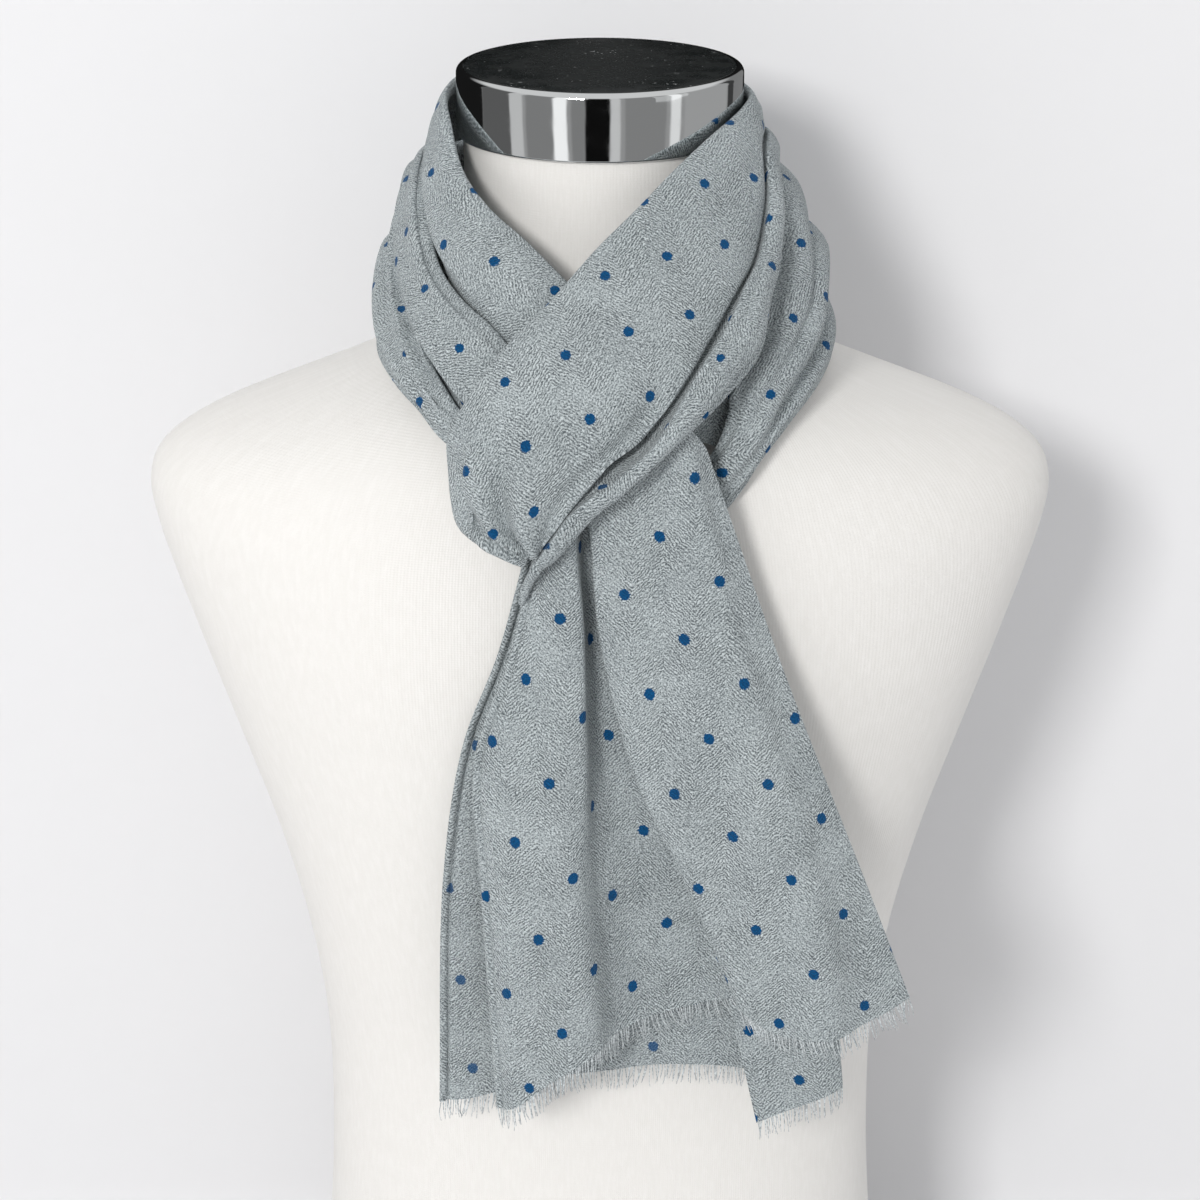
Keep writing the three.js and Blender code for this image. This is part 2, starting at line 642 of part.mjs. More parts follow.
add('form_body', formGeometry(), 'cream');
add('neck_ring', ringGeometry(), 'chrome');
add('neck_cap', capGeometry(), 'black');
const STRANDS = {
  neck_inner_left: strandGrid(between(LEFT_STRANDS, 0)),
  neck_middle_left: strandGrid(between(LEFT_STRANDS, 1)),
  neck_outer_left: strandGrid(between(LEFT_STRANDS, 2), OUTER_FOLDS),
  front_band: strandGrid(between(RIGHT_STRANDS, 0)),
  band_roll: strandGrid(between(RIGHT_STRANDS, 1).slice(0, -ROLL_STOPS_EARLY)),
  loop_back: strandGrid(alone(LOOP_STRAND), LOOP_FOLDS),
  loop_inner: strandGrid(alone(LOOP_INNER)),
};
for (const [name, grid] of Object.entries(STRANDS)) add(name, wallGeometry(grid, WALL), 'wool');
const TAILS = {
  front_tail: tailGrid(FRONT_TAIL, FRONT_TAIL_DEPTH),
  rear_tail: tailGrid(REAR_TAIL, REAR_TAIL_DEPTH),
};
for (const [name, grid] of Object.entries(TAILS)) {
  add(name, wallGeometry(grid, WALL), 'wool');
  add(`${name}_fringe`, fringeGeometry(grid), 'wool');
}

export default scarf;
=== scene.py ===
"""Dressed model of a light wool scarf, doubled and looped round the neck of a limbless dress form.

Lengths in the tables are millimetres in the row frame: +Z up, the front faces -Y and the origin is
the centre of the form's flat base. Meshes are made in metres.
"""

import logging
import math
from dataclasses import dataclass, field
from enum import Enum
from typing import NamedTuple, Sequence

import bpy
import numpy as np
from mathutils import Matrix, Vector


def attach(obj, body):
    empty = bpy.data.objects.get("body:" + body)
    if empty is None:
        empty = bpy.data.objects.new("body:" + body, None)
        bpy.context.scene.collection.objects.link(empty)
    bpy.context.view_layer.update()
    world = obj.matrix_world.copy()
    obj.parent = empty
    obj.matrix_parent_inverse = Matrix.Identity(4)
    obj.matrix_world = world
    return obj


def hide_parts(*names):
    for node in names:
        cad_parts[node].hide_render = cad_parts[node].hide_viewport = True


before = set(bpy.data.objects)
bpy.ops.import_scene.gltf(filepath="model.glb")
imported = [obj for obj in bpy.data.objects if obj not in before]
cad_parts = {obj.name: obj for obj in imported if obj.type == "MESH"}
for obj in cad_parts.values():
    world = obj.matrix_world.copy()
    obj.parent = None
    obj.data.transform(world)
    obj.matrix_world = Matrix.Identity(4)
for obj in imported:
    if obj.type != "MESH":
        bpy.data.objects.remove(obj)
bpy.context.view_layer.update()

LOG = logging.getLogger("scarf")
MM = 0.001
ROOT = "root"
ALONG, ACROSS = 0, 1
FORM_SHARP, CLOTH_SHARP, YARN_SHARP = 40.0, 60.0, 180.0

Point = tuple[float, float, float]
Colour = tuple[float, float, float]
Array = np.ndarray
Material = bpy.types.Material
Socket = bpy.types.NodeSocket


class Slot(Enum):
    """Material slots of the record."""

    COVER = "form_cover"
    RING = "ring"
    CAP = "cap"
    WOOL = "wool"


def table(kind: type, *rows: tuple) -> tuple:
    """Rows of numbers as named tuples of one kind."""
    return tuple(kind(*row) for row in rows)


# ---- curves, grids and meshes ----


def smoothstep(value: Array | float, low: float, high: float) -> Array:
    """Rises smoothly from 0 at low to 1 at high."""
    t = np.clip((np.asarray(value, float) - low) / (high - low), 0.0, 1.0)
    return t * t * (3.0 - 2.0 * t)


def bell(away: Array | float, width: float) -> Array | float:
    """Falls from 1 at no distance to 1/e at the width."""
    return np.exp(-((away / width) ** 2))


def gap(p: Array, q: Array) -> float:
    """Distance between two points."""
    return float(np.linalg.norm(q - p))


def spline(points: Array, counts: Sequence[int]) -> Array:
    """A smooth curve through points along their first axis.

    Args:
        points: Array of shape (n, m, 3): m curves side by side, each through n points.
        counts: Number of steps in each of the n - 1 spans.

    Returns:
        Array of shape (sum(counts) + 1, m, 3).
    """
    gaps = np.maximum(1e-3, np.sqrt(np.linalg.norm(np.diff(points, axis=0), axis=-1)))
    slopes = np.diff(points, axis=0) / gaps[..., None]
    tangents = np.empty_like(points)
    tangents[0], tangents[-1] = slopes[0], slopes[-1]
    share = (gaps[:-1] / (gaps[:-1] + gaps[1:]))[..., None]
    tangents[1:-1] = slopes[:-1] * (1 - share) + slopes[1:] * share
    parts = [points[:1]]
    for i, count in enumerate(counts):
        s = (np.arange(1, count + 1) / count)[:, None, None]
        span = gaps[i][None, :, None]
        parts.append(
            (2 * s**3 - 3 * s**2 + 1) * points[i]
            + (s**3 - 2 * s**2 + s) * tangents[i] * span
            + (3 * s**2 - 2 * s**3) * points[i + 1]
            + (s**3 - s**2) * tangents[i + 1] * span
        )
    return np.concatenate(parts)


def sample_net(net: Array, along: Sequence[int], across: Sequence[int]) -> Array:
    """Samples a net of points both ways: rows run along the cloth, columns across it."""
    rows = spline(net.transpose(1, 0, 2), across).transpose(1, 0, 2)
    return spline(rows, along)


def grid_normals(grid: Array) -> Array:
    """Unit normals of a sampled grid, on the side where along x across points."""
    along = np.empty_like(grid)
    along[1:-1] = grid[2:] - grid[:-2]
    along[0], along[-1] = grid[1] - grid[0], grid[-1] - grid[-2]
    across = np.empty_like(grid)
    across[:, 1:-1] = grid[:, 2:] - grid[:, :-2]
    across[:, 0], across[:, -1] = grid[:, 1] - grid[:, 0], grid[:, -1] - grid[:, -2]
    normals = np.cross(along, across)
    return normals / np.maximum(1e-9, np.linalg.norm(normals, axis=-1, keepdims=True))


def arc_length(points: Array, axis: int) -> Array:
    """Distance over a line or grid of points, from its first row (ALONG) or column (ACROSS)."""
    steps = np.linalg.norm(np.diff(points, axis=axis), axis=-1)
    start = np.zeros_like(np.take(steps, [0], axis=axis))
    return np.concatenate([start, np.cumsum(steps, axis=axis)], axis=axis)


def log_cloth(name: str, grid: Array) -> None:
    """Logs a cloth grid's area in square metres, and its mean width and length in metres."""
    sides = np.cross(grid[1:, 1:] - grid[:-1, :-1], grid[1:, :-1] - grid[:-1, 1:])
    area = np.linalg.norm(sides, axis=-1).sum() / 2 * MM * MM
    width = arc_length(grid, ACROSS)[:, -1].mean() * MM
    length = arc_length(grid, ALONG)[-1].mean() * MM
    LOG.info("%s: cloth %.4f m2, %.3f by %.3f m", name, area, width, length)


def add_object(name: str, data: bpy.types.ID) -> bpy.types.Object:
    """Makes an object of a mesh, lamp or camera and links it to the scene."""
    made = bpy.data.objects.new(name, data)
    bpy.context.scene.collection.objects.link(made)
    return made


def smooth_mesh(name: str, vertices: list, faces: list) -> bpy.types.Mesh:
    """A smooth-shaded mesh from vertices in metres."""
    mesh = bpy.data.meshes.new(name)
    mesh.from_pydata(vertices, [], faces)
    mesh.polygons.foreach_set("use_smooth", np.ones(len(mesh.polygons), bool))
    return mesh


@dataclass
class MeshData:
    """A closed mesh.

    Attributes:
        vertices: Array of shape (n, 3), in millimetres.
        faces: The vertex numbers of each face.
        sharp: Edges with a steeper turn than this, in degrees, stay sharp.
        flat: Layer name to an array of shape (n, 2).
        marks: Attribute name to an array of n numbers.
    """

    vertices: Array
    faces: list[list[int]]
    sharp: float = FORM_SHARP
    flat: dict[str, Array] = field(default_factory=dict)
    marks: dict[str, Array] = field(default_factory=dict)

    def make(self, name: str, material: Material, slot: Slot, *nodes: str) -> bpy.types.Object:
        """Makes a smooth-shaded piece that rides on the root body.

        Args:
            name: The piece's name.
            material: Its material.
            slot: Its slot in the record; not used.
            nodes: The CAD nodes that it stands for.

        Returns:
            The new piece, linked to the scene.
        """
        mesh = smooth_mesh(name, (self.vertices * MM).tolist(), self.faces)
        corners = np.empty(len(mesh.loops), np.int64)
        mesh.loops.foreach_get("vertex_index", corners)
        for layer, values in self.flat.items():
            uv = mesh.uv_layers.new(name=layer)
            uv.data.foreach_set("uv", values[corners].astype(np.float32).ravel())
        for mark, values in self.marks.items():
            attribute = mesh.attributes.new(mark, "FLOAT", "POINT")
            attribute.data.foreach_set("value", values.astype(np.float32))
        mesh.set_sharp_from_angle(angle=math.radians(self.sharp))
        mesh.validate()
        mesh.update()
        mesh.materials.append(material)
        piece = add_object(name, mesh)
        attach(piece, ROOT)
        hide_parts(*nodes)
        LOG.info("%s: %d triangles", name, sum(len(f.vertices) - 2 for f in mesh.polygons))
        return piece


def wall(
    grid: Array, thickness: Array | float, flat: dict[str, Array], reverse_front: bool = False,
) -> MeshData:
    """A closed wall on both sides of a grid.

    Args:
        grid: Array of shape (rows, columns, 3).
        thickness: The wall's thickness, one number or one for each grid point.
        flat: Flat coordinates for each grid point, by layer name.
        reverse_front: Whether the side that faces along x across is the cloth's reverse.

    Returns:
        The closed mesh. Its mark "reverse" is 1 on the cloth's reverse side.
    """
    rows, columns = grid.shape[:2]
    count = rows * columns
    offset = grid_normals(grid) * (np.broadcast_to(thickness, (rows, columns))[..., None] / 2)
    vertices = np.concatenate([(grid + offset).reshape(-1, 3), (grid - offset).reshape(-1, 3)])
    index = np.arange(count).reshape(rows, columns)
    corners = [index[:-1, :-1], index[1:, :-1], index[1:, 1:], index[:-1, 1:]]
    front = np.stack(corners, axis=-1).reshape(-1, 4)
    rim = np.concatenate([index[:-1, 0], index[-1, :-1], index[:0:-1, -1], index[0, :0:-1]])
    following = np.roll(rim, -1)
    edge = np.stack([rim, rim + count, following + count, following], axis=-1)
    faces = np.concatenate([front, front[:, ::-1] + count, edge]).tolist()
    doubled = {name: np.concatenate([side.reshape(-1, 2)] * 2) for name, side in flat.items()}
    reverse = np.repeat([1.0, 0.0] if reverse_front else [0.0, 1.0], count)
    return MeshData(vertices, faces, CLOTH_SHARP, doubled, {"reverse": reverse})


def ring_faces(index: Array) -> list[list[int]]:
    """Faces between neighbouring rings; each row of index holds one ring's vertex numbers."""
    following = np.roll(index, -1, axis=1)
    faces = np.stack([index[:-1], following[:-1], following[1:], index[1:]], axis=-1)
    return faces.reshape(-1, 4).tolist()


def tube_faces(index: Array) -> list[list[int]]:
    """Faces of a tube that is closed at both ends; see ring_faces."""
    return [*ring_faces(index), index[0][::-1].tolist(), index[-1].tolist()]


def lathe(profile: Sequence[tuple[float, float]], sides: int) -> MeshData:
    """A turned solid about Z.

    Args:
        profile: (radius, height) points. A profile that starts and ends on the axis is closed
            there; any other closes on itself.
        sides: Number of faces round the axis.

    Returns:
        The closed mesh.
    """
    angles = 2 * math.pi * np.arange(sides) / sides
    c, s = np.cos(angles), np.sin(angles)
    on_axis = profile[0][0] == 0.0
    rings = profile[1:-1] if on_axis else profile
    points = np.concatenate([np.stack([r * c, r * s, np.full(sides, h)], -1) for r, h in rings])
    index = np.arange(len(points)).reshape(len(rings), sides)
    if not on_axis:
        return MeshData(points, ring_faces(np.concatenate([index, index[:1]])))
    faces = ring_faces(index)
    centre = len(points)
    for k in range(sides):
        following = (k + 1) % sides
        faces.append([centre, int(index[0][following]), int(index[0][k])])
        faces.append([centre + 1, int(index[-1][k]), int(index[-1][following])])
    ends = [[0.0, 0.0, profile[0][1]], [0.0, 0.0, profile[-1][1]]]
    return MeshData(np.concatenate([points, ends]), faces)


def quarter(centre: tuple[float, float], radius: float, start: float, steps: int) -> list:
    """Points of a quarter circle in a lathe profile, anticlockwise from start degrees."""
    points = []
    for k in range(steps + 1):
        angle = math.radians(start + 90.0 * k / steps)
        points.append((centre[0] + radius * math.cos(angle), centre[1] + radius * math.sin(angle)))
    return points


# ---- materials ----


class Graph:
    """A node tree, with short calls for the nodes that are used here."""

    def __init__(
        self, owner: Material | bpy.types.World, output: str = "ShaderNodeOutputMaterial"
    ) -> None:
        """Empties the owner's tree and gives it an output."""
        owner.use_nodes = True
        self.owner = owner
        self.tree = owner.node_tree
        self.tree.nodes.clear()
        self.surface = self.tree.nodes.new(output).inputs["Surface"]

    def put(self, socket: Socket, value: object) -> None:
        """Links a socket to value, or sets it where value is a constant."""
        if isinstance(value, Socket):
            self.tree.links.new(value, socket)
        elif isinstance(value, tuple) and socket.type == "RGBA":
            socket.default_value = (*value, 1.0)
        else:
            socket.default_value = value

    def node(self, kind: str, *values: object, **settings: object) -> bpy.types.Node:
        """Adds a node, sets its properties and puts values on its first inputs."""
        node = self.tree.nodes.new(kind)
        for key, value in settings.items():
            setattr(node, key, value)
        for socket, value in zip(node.inputs, values):
            self.put(socket, value)
        return node

    def named(self, kind: str, **sockets: object) -> Socket:
        """Adds a node with values on the named inputs (_ for a space); its first output."""
        node = self.tree.nodes.new(kind)
        for name, value in sockets.items():
            self.put(node.inputs[name.replace("_", " ")], value)
        return node.outputs[0]

    def math(self, operation: str, *values: object) -> Socket:
        """A Math node's result."""
        return self.node("ShaderNodeMath", *values, operation=operation).outputs[0]

    def total(self, *terms: tuple[object, object]) -> Socket:
        """The sum of values times their weights."""
        result = self.math("MULTIPLY", *terms[0])
        for value, weight in terms[1:]:
            result = self.math("MULTIPLY_ADD", value, weight, result)
        return result

    def combine(self, x: object, y: object) -> Socket:
        """A vector from two numbers."""
        return self.node("ShaderNodeCombineXYZ", x, y).outputs[0]

    def split(self, vector: Socket) -> tuple:
        """A vector's three numbers."""
        return tuple(self.node("ShaderNodeSeparateXYZ", vector).outputs)

    def place(self, kind: str = "Object") -> Socket:
        """Coordinates of one kind."""
        return self.node("ShaderNodeTexCoord").outputs[kind]

    def layer(self, name: str) -> Socket:
        """A mesh layer's flat coordinates."""
        return self.node("ShaderNodeUVMap", uv_map=name).outputs[0]

    def noise(
        self, vector: Socket, scale: float, detail: float = 2.0, rough: float = 0.5
    ) -> Socket:
        """A noise texture's value."""
        return self.named(
            "ShaderNodeTexNoise", Vector=vector, Scale=scale, Detail=detail, Roughness=rough
        )

    def span(
        self, value: object, low: float, high: float, to_low: float = 0.0, to_high: float = 1.0,
        shape: str = "SMOOTHSTEP",
    ) -> Socket:
        """Maps a range onto another."""
        return self.node(
            "ShaderNodeMapRange", value, low, high, to_low, to_high, interpolation_type=shape
        ).outputs[0]

    def between(self, share: object, first: object, second: object) -> Socket:
        """Mixes two numbers."""
        return self.total((first, self.math("SUBTRACT", 1.0, share)), (second, share))

    def mix(self, share: object, first: object, second: object) -> Socket:
        """Mixes two colours."""
        node = self.node("ShaderNodeMix", share, data_type="RGBA")
        self.put(node.inputs[6], first)
        self.put(node.inputs[7], second)
        return node.outputs[2]

    def bump(self, height: Socket, distance: float, strength: float) -> Socket:
        """A bumped normal."""
        return self.named("ShaderNodeBump", Height=height, Distance=distance, Strength=strength)

    def finish(self, shader: Socket) -> Material | bpy.types.World:
        """Ends the tree with a shader and returns its owner."""
        self.put(self.surface, shader)
        return self.owner

    def principled(self, **sockets: object) -> Material:
        """Ends the tree with a Principled shader; see named."""
        return self.finish(self.named("ShaderNodeBsdfPrincipled", **sockets))


def new_material(name: str) -> Graph:
    """A new material's empty tree."""
    return Graph(bpy.data.materials.new(name))


@dataclass(frozen=True)
class WoolFinish:
    """Light twill wool, blue-grey and heathered, with small woven dots.

    Attributes:
        dot_radius_periods: A dot's radius in periods of the pattern.
        dot_ragged: How uneven its edge is, in periods.
        wander: Scale and amount of the unevenness of the ribs.
        stretch: How much longer than wide a yarn's marks are.
        fades: How much fainter the dots are on the reverse.
    """

    light: Colour = (0.64, 0.70, 0.715)
    dark: Colour = (0.085, 0.102, 0.110)
    dot: Colour = (0.0005, 0.044, 0.125)
    dot_lit: Colour = (0.001, 0.085, 0.235)
    dot_radius_periods: float = 0.0565
    dot_ragged: float = 0.075
    fades: float = 0.12
    chevron: float = 0.014
    rib: float = 0.00175
    wander: tuple[tuple[float, float], ...] = ((150.0, 2.4), (480.0, 2.0))
    fleck_scale: float = 1300.0
    yarn_scale: float = 520.0
    stretch: float = 3.2
    bump: float = 0.0005

    def make(self) -> Material:
        """Builds the material from the layers "cloth" (metres) and "dots" (pattern periods)."""
        g = new_material("wool_twill")
        cloth = g.layer("cloth")
        x, y, _ = g.split(cloth)
        zigzag = g.math("PINGPONG", x, self.chevron)
        phase = g.math("DIVIDE", g.math("ADD", y, zigzag), self.rib)
        for scale, amount in self.wander:
            phase = g.math("MULTIPLY_ADD", g.noise(cloth, scale, 3.0, 0.6), amount, phase)
        rib = g.math("SINE", g.math("MULTIPLY", phase, 2 * math.pi))
        depth = g.span(g.noise(cloth, 60.0), 0.36, 0.6, 0.2, 0.5)
        rib = g.math("MULTIPLY_ADD", rib, depth, 0.5)
        wide, tall = g.math("MULTIPLY", x, self.stretch), g.math("MULTIPLY", y, self.stretch)
        warp = g.noise(g.combine(wide, y), self.yarn_scale, 2.0, 0.65)
        weft = g.noise(g.combine(x, tall), self.yarn_scale * 0.9, 2.0, 0.65)
        yarn = g.math("MAXIMUM", warp, weft)
        fleck = g.noise(cloth, self.fleck_scale, 2.0, 0.7)
        cloud = g.noise(cloth, 32.0, 3.0, 0.55)
        tone = g.total((rib, 0.36), (yarn, 1.1), (fleck, 1.2), (cloud, 0.2))
        share = g.span(tone, 1.12, 1.92)
        ground = g.mix(share, self.dark, self.light)
        dyed = g.mix(share, self.dot, self.dot_lit)
        spot = self.spot(g, g.total((fleck, 0.5), (yarn, 0.5)))
        return g.principled(
            Base_Color=g.mix(spot, ground, dyed), Roughness=0.9, Specular_IOR_Level=0.15,
            Sheen_Weight=0.1, Sheen_Roughness=0.5,
            Normal=g.bump(g.total((rib, 0.55), (yarn, 0.8)), self.bump, 0.9),
        )

    def spot(self, g: Graph, rough: Socket) -> Socket:
        """The share of dot colour: ragged dots on a diamond lattice, fainter on the reverse."""
        sides = g.split(g.layer("dots"))[:2]
        nearest = []
        for shift in (0.0, 0.5):
            u, v = (
                g.math("SUBTRACT", g.math("FRACT", g.math("ADD", side, shift)), 0.5)
                for side in sides
            )
            nearest.append(g.math("SQRT", g.total((u, u), (v, v))))
        away = g.math("MINIMUM", *nearest)
        away = g.math("MULTIPLY_ADD", g.math("SUBTRACT", rough, 0.53), self.dot_ragged, away)
        edge = self.dot_radius_periods
        reverse = g.node("ShaderNodeAttribute", attribute_name="reverse").outputs["Fac"]
        kept = g.math("MULTIPLY_ADD", reverse, -self.fades, 1.0)
        return g.math("MULTIPLY", g.span(away, edge - 0.004, edge + 0.006, 1.0, 0.0), kept)


@dataclass(frozen=True)
class YarnFinish:
    """Loose yarn ends of the fringe."""

    light: Colour = (0.74, 0.785, 0.80)
    dark: Colour = (0.33, 0.365, 0.38)

    def make(self) -> Material:
        """Builds the material; its tone changes from yarn to yarn and along each one."""
        g = new_material("wool_yarn_ends")
        tone = g.noise(g.place(), 900.0, 2.0, 0.6)
        return g.principled(
            Base_Color=g.mix(g.span(tone, 0.32, 0.66), self.dark, self.light), Roughness=0.9,
            Specular_IOR_Level=0.25, Sheen_Weight=0.2,
        )


@dataclass(frozen=True)
class JerseyFinish:
    """Close cream jersey drawn over the form."""

    base: Colour = (0.825, 0.81, 0.782)
    shade: Colour = (0.797, 0.781, 0.75)
    wales: float = 620.0
    course: float = 0.0011

    def make(self) -> Material:
        """Builds the material with fine upright wales and a slight slub."""
        g = new_material("cream_jersey")
        place = g.place()
        x, y, z = g.split(place)
        turn = g.math("ARCTAN2", x, g.math("MULTIPLY", y, -1.0))
        slub = g.noise(g.combine(g.math("MULTIPLY", turn, 40.0), g.math("MULTIPLY", z, 60.0)), 1.6)
        wale = g.math("SINE", g.math("MULTIPLY", turn, self.wales))
        course = g.math("SINE", g.math("MULTIPLY", z, 2 * math.pi / self.course))
        fine = g.noise(place, 1400.0, 2.0, 0.6)
        share = g.span(g.math("MULTIPLY_ADD", fine, 0.5, slub), 0.55, 1.05)
        return g.principled(
            Base_Color=g.mix(share, self.shade, self.base), Roughness=0.82, Specular_IOR_Level=0.3,
            Sheen_Weight=0.08,
            Normal=g.bump(g.total((wale, 0.35), (course, 0.2), (fine, 0.9)), 0.00012, 0.6),
        )


@dataclass(frozen=True)
class ChromeFinish:
    """Polished chrome with a faint unevenness."""

    base: Colour = (0.80, 0.815, 0.82)

    def make(self) -> Material:
        """Builds the material."""
        g = new_material("polished_chrome")
        place = g.place()
        return g.principled(
            Base_Color=self.base, Metallic=1.0,
            Roughness=g.span(g.noise(place, 140.0, 3.0, 0.6), 0.35, 0.75, 0.035, 0.085),
            Normal=g.bump(g.noise(place, 28.0), 0.0006, 0.35),
        )


@dataclass(frozen=True)
class CapFinish:
    """Glossy black cap with a little dust."""

    base: Colour = (0.012, 0.015, 0.015)
    dust: Colour = (0.34, 0.35, 0.35)

    def make(self) -> Material:
        """Builds the material."""
        g = new_material("black_cap")
        place = g.place()
        specks, rarely = g.noise(place, 520.0, 1.0, 0.4), g.noise(place, 60.0, 1.0)
        share = g.span(g.math("MULTIPLY_ADD", rarely, 0.35, specks), 0.93, 0.99)
        return g.principled(
            Base_Color=g.mix(share, self.base, self.dust),
            Roughness=g.span(g.noise(place, 90.0, 3.0, 0.6), 0.3, 0.7, 0.2, 0.34),
            Specular_IOR_Level=0.4,
        )


@dataclass(frozen=True)
class StudioPaint:
    """Plain pale paint of the studio floor and backdrop, which is open from behind."""

    base: Colour = (0.80, 0.80, 0.81)

    def make(self) -> Material:
        """Builds the material."""
        g = new_material("studio_paint")
        paint = g.named(
            "ShaderNodeBsdfPrincipled",
            Base_Color=self.base, Roughness=0.95, Specular_IOR_Level=0.1,
        )
        behind = g.node("ShaderNodeNewGeometry").outputs["Backfacing"]
        clear = g.named("ShaderNodeBsdfTransparent")
        return g.finish(g.node("ShaderNodeMixShader", behind, paint, clear).outputs[0])


# ---- the dress form ----


class FormRow(NamedTuple):
    """Level section of the form: half its width, depth to front and back, and squareness."""

    z: float
    half: float
    front: float
    back: float
    square: float


@dataclass(frozen=True)
class DressForm:
    """The limbless form with its neck ring and cap."""

    ring_radius: float = 66.0
    ring_bore: float = 57.0
    ring_bottom: float = 709.0
    ring_ease: float = 1.2
    ring_shoulder: float = 3.0
    top: float = 740.0
    cap_radius: float = 62.5
    cap_bottom: float = 736.0
    seat_gap: float = 0.3
    sides: int = 176
    level_step: float = 4.0
    base_ease: float = 2.5
    cap_ease: float = 0.5
    ring_sides: int = 224
    cap_sides: int = 192
    pushes: int = 6
    probe: float = 0.5
    sections: tuple[FormRow, ...] = table(
        FormRow,
        (0, 152, 110, 102, 2.3),
        (60, 148, 106, 99, 2.3),
        (142, 140, 98, 92, 2.2),
        (202, 137, 95, 88, 2.2),
        (260, 138, 98, 90, 2.2),
        (316, 146, 105, 96, 2.2),
        (371, 160, 111, 102, 2.2),
        (425, 178, 116, 107, 2.2),
        (478, 196, 119, 110, 2.2),
        (524, 211, 118, 110, 2.1),
        (543, 214.5, 116, 108, 2.0),
        (556, 211, 114, 105, 1.9),
        (567, 200, 112, 102, 1.85),
        (578, 180, 109, 98, 1.8),
        (590, 149, 104, 92, 1.8),
        (601, 119, 97, 86, 1.85),
        (613, 94, 88, 80, 1.95),
        (628, 77, 77, 73, 2.0),
        (650, 67, 67, 66.5, 2.0),
        (680, 63, 63, 63, 2.0),
        (708.7, 63, 63, 63, 2.0),
    )

    def section(self, z: Array) -> list[Array]:
        """Half width, front, back and squareness at each height."""
        heights, *columns = np.array(self.sections).T
        return [np.interp(z, heights, column) for column in columns]

    def level(self, points: Array) -> Array:
        """How far outside the form points are, as a share of its section: 0 on its skin."""
        half, front, back, square = self.section(points[..., 2])
        depth = np.where(points[..., 1] < 0, front, back)
        total = (np.abs(points[..., 0]) / half) ** square
        total = total + (np.abs(points[..., 1]) / depth) ** square
        return total ** (1 / square) - 1

    def keep_clear(self, points: Array, distance: float) -> Array:
        """Moves points straight out of the form until they are the distance clear of it."""
        moved = points.astype(float).copy()
        for _ in range(self.pushes):
            level = self.level(moved)
            ahead = [self.level(moved + self.probe * axis) for axis in np.eye(3)]
            slope = (np.stack(ahead, axis=-1) - level[..., None]) / self.probe
            size = np.maximum(1e-9, np.linalg.norm(slope, axis=-1))
            short = np.maximum(0.0, distance - level / size)
            moved += slope * (short / size)[..., None]
        return moved

    def body_mesh(self) -> MeshData:
        """A smooth loft through the sections, with an eased lower edge."""
        rows = np.array(self.sections)
        counts = [max(1, round(rise / self.level_step)) for rise in np.diff(rows[:, 0])]
        fine = spline(np.stack([rows[:, [0, 1, 2]], rows[:, [0, 3, 4]]], axis=1), counts)
        spans = zip(rows[:, 0], rows[1:, 0], counts)
        steps = [np.linspace(a, b, n + 1)[1:] for a, b, n in spans]
        heights = np.concatenate([rows[:1, 0], *steps])
        order = np.argsort(fine[:, 0, 0])
        columns = [
            np.interp(heights, fine[order, side, 0], fine[order, side, k])
            for side in (0, 1) for k in (1, 2)
        ]
        levels = np.stack([heights, *columns], axis=-1)
        eased = []
        for angle in np.linspace(0, math.pi / 2, 5)[:-1]:
            inset = self.base_ease * (1 - math.sin(angle))
            eased.append(levels[0] - [0.0, inset, inset, inset, 0.0])
            eased[-1][0] = self.base_ease * (1 - math.cos(angle))
        levels = np.concatenate([eased, levels[heights > self.base_ease * 1.2]])
        angles = 2 * math.pi * np.arange(self.sides) / self.sides
        c, s = np.cos(angles), np.sin(angles)
        power = 2 / levels[:, 4:5]
        x = levels[:, 1:2] * np.sign(c) * np.abs(c) ** power
        depth = np.where(s < 0, levels[:, 2:3], levels[:, 3:4])
        y = depth * np.sign(s) * np.abs(s) ** power
        rings = np.stack([x, y, np.broadcast_to(levels[:, 0:1], x.shape)], axis=-1)
        index = np.arange(x.size).reshape(x.shape)
        return MeshData(rings.reshape(-1, 3), tube_faces(index))

    def ring_mesh(self) -> MeshData:
        """The chrome ring: eased below, a rounded shoulder above and a seat for the cap."""
        seat_radius = self.cap_radius + self.seat_gap
        seat_bottom = self.cap_bottom - self.seat_gap
        outer, ease, shoulder = self.ring_radius, self.ring_ease, self.ring_shoulder
        profile = [(self.ring_bore, self.ring_bottom)]
        profile += quarter((outer - ease, self.ring_bottom + ease), ease, -90, 5)
        profile += quarter((outer - shoulder, self.top - shoulder), shoulder, 0, 8)
        profile += [(seat_radius, self.top), (seat_radius, seat_bottom)]
        return lathe([*profile, (self.ring_bore, seat_bottom)], self.ring_sides)

    def cap_mesh(self) -> MeshData:
        """The cap: a disc with an eased upper edge, flush with the ring."""
        radius, top, ease = self.cap_radius, self.top, self.cap_ease
        profile = [(0.0, self.cap_bottom), (radius, self.cap_bottom)]
        profile += quarter((radius - ease, top - ease), ease, 0, 4)
        return lathe([*profile, (radius * 0.6, top), (0.0, top)], self.cap_sides)

    def build(self) -> None:
        """Makes the form's three pieces."""
        jersey, chrome, black = JerseyFinish().make(), ChromeFinish().make(), CapFinish().make()
        self.body_mesh().make("dress_form_body", jersey, Slot.COVER, "form_body")
        self.ring_mesh().make("dress_form_ring", chrome, Slot.RING, "neck_ring")
        self.cap_mesh().make("dress_form_cap", black, Slot.CAP, "neck_cap")


# ---- folds and creases in the cloth ----


class Fold(NamedTuple):
    """A lengthwise fold of a strand: place across, half width, rise, and its span of the length."""

    at: float
    width: float
    rise: float
    start: float
    end: float


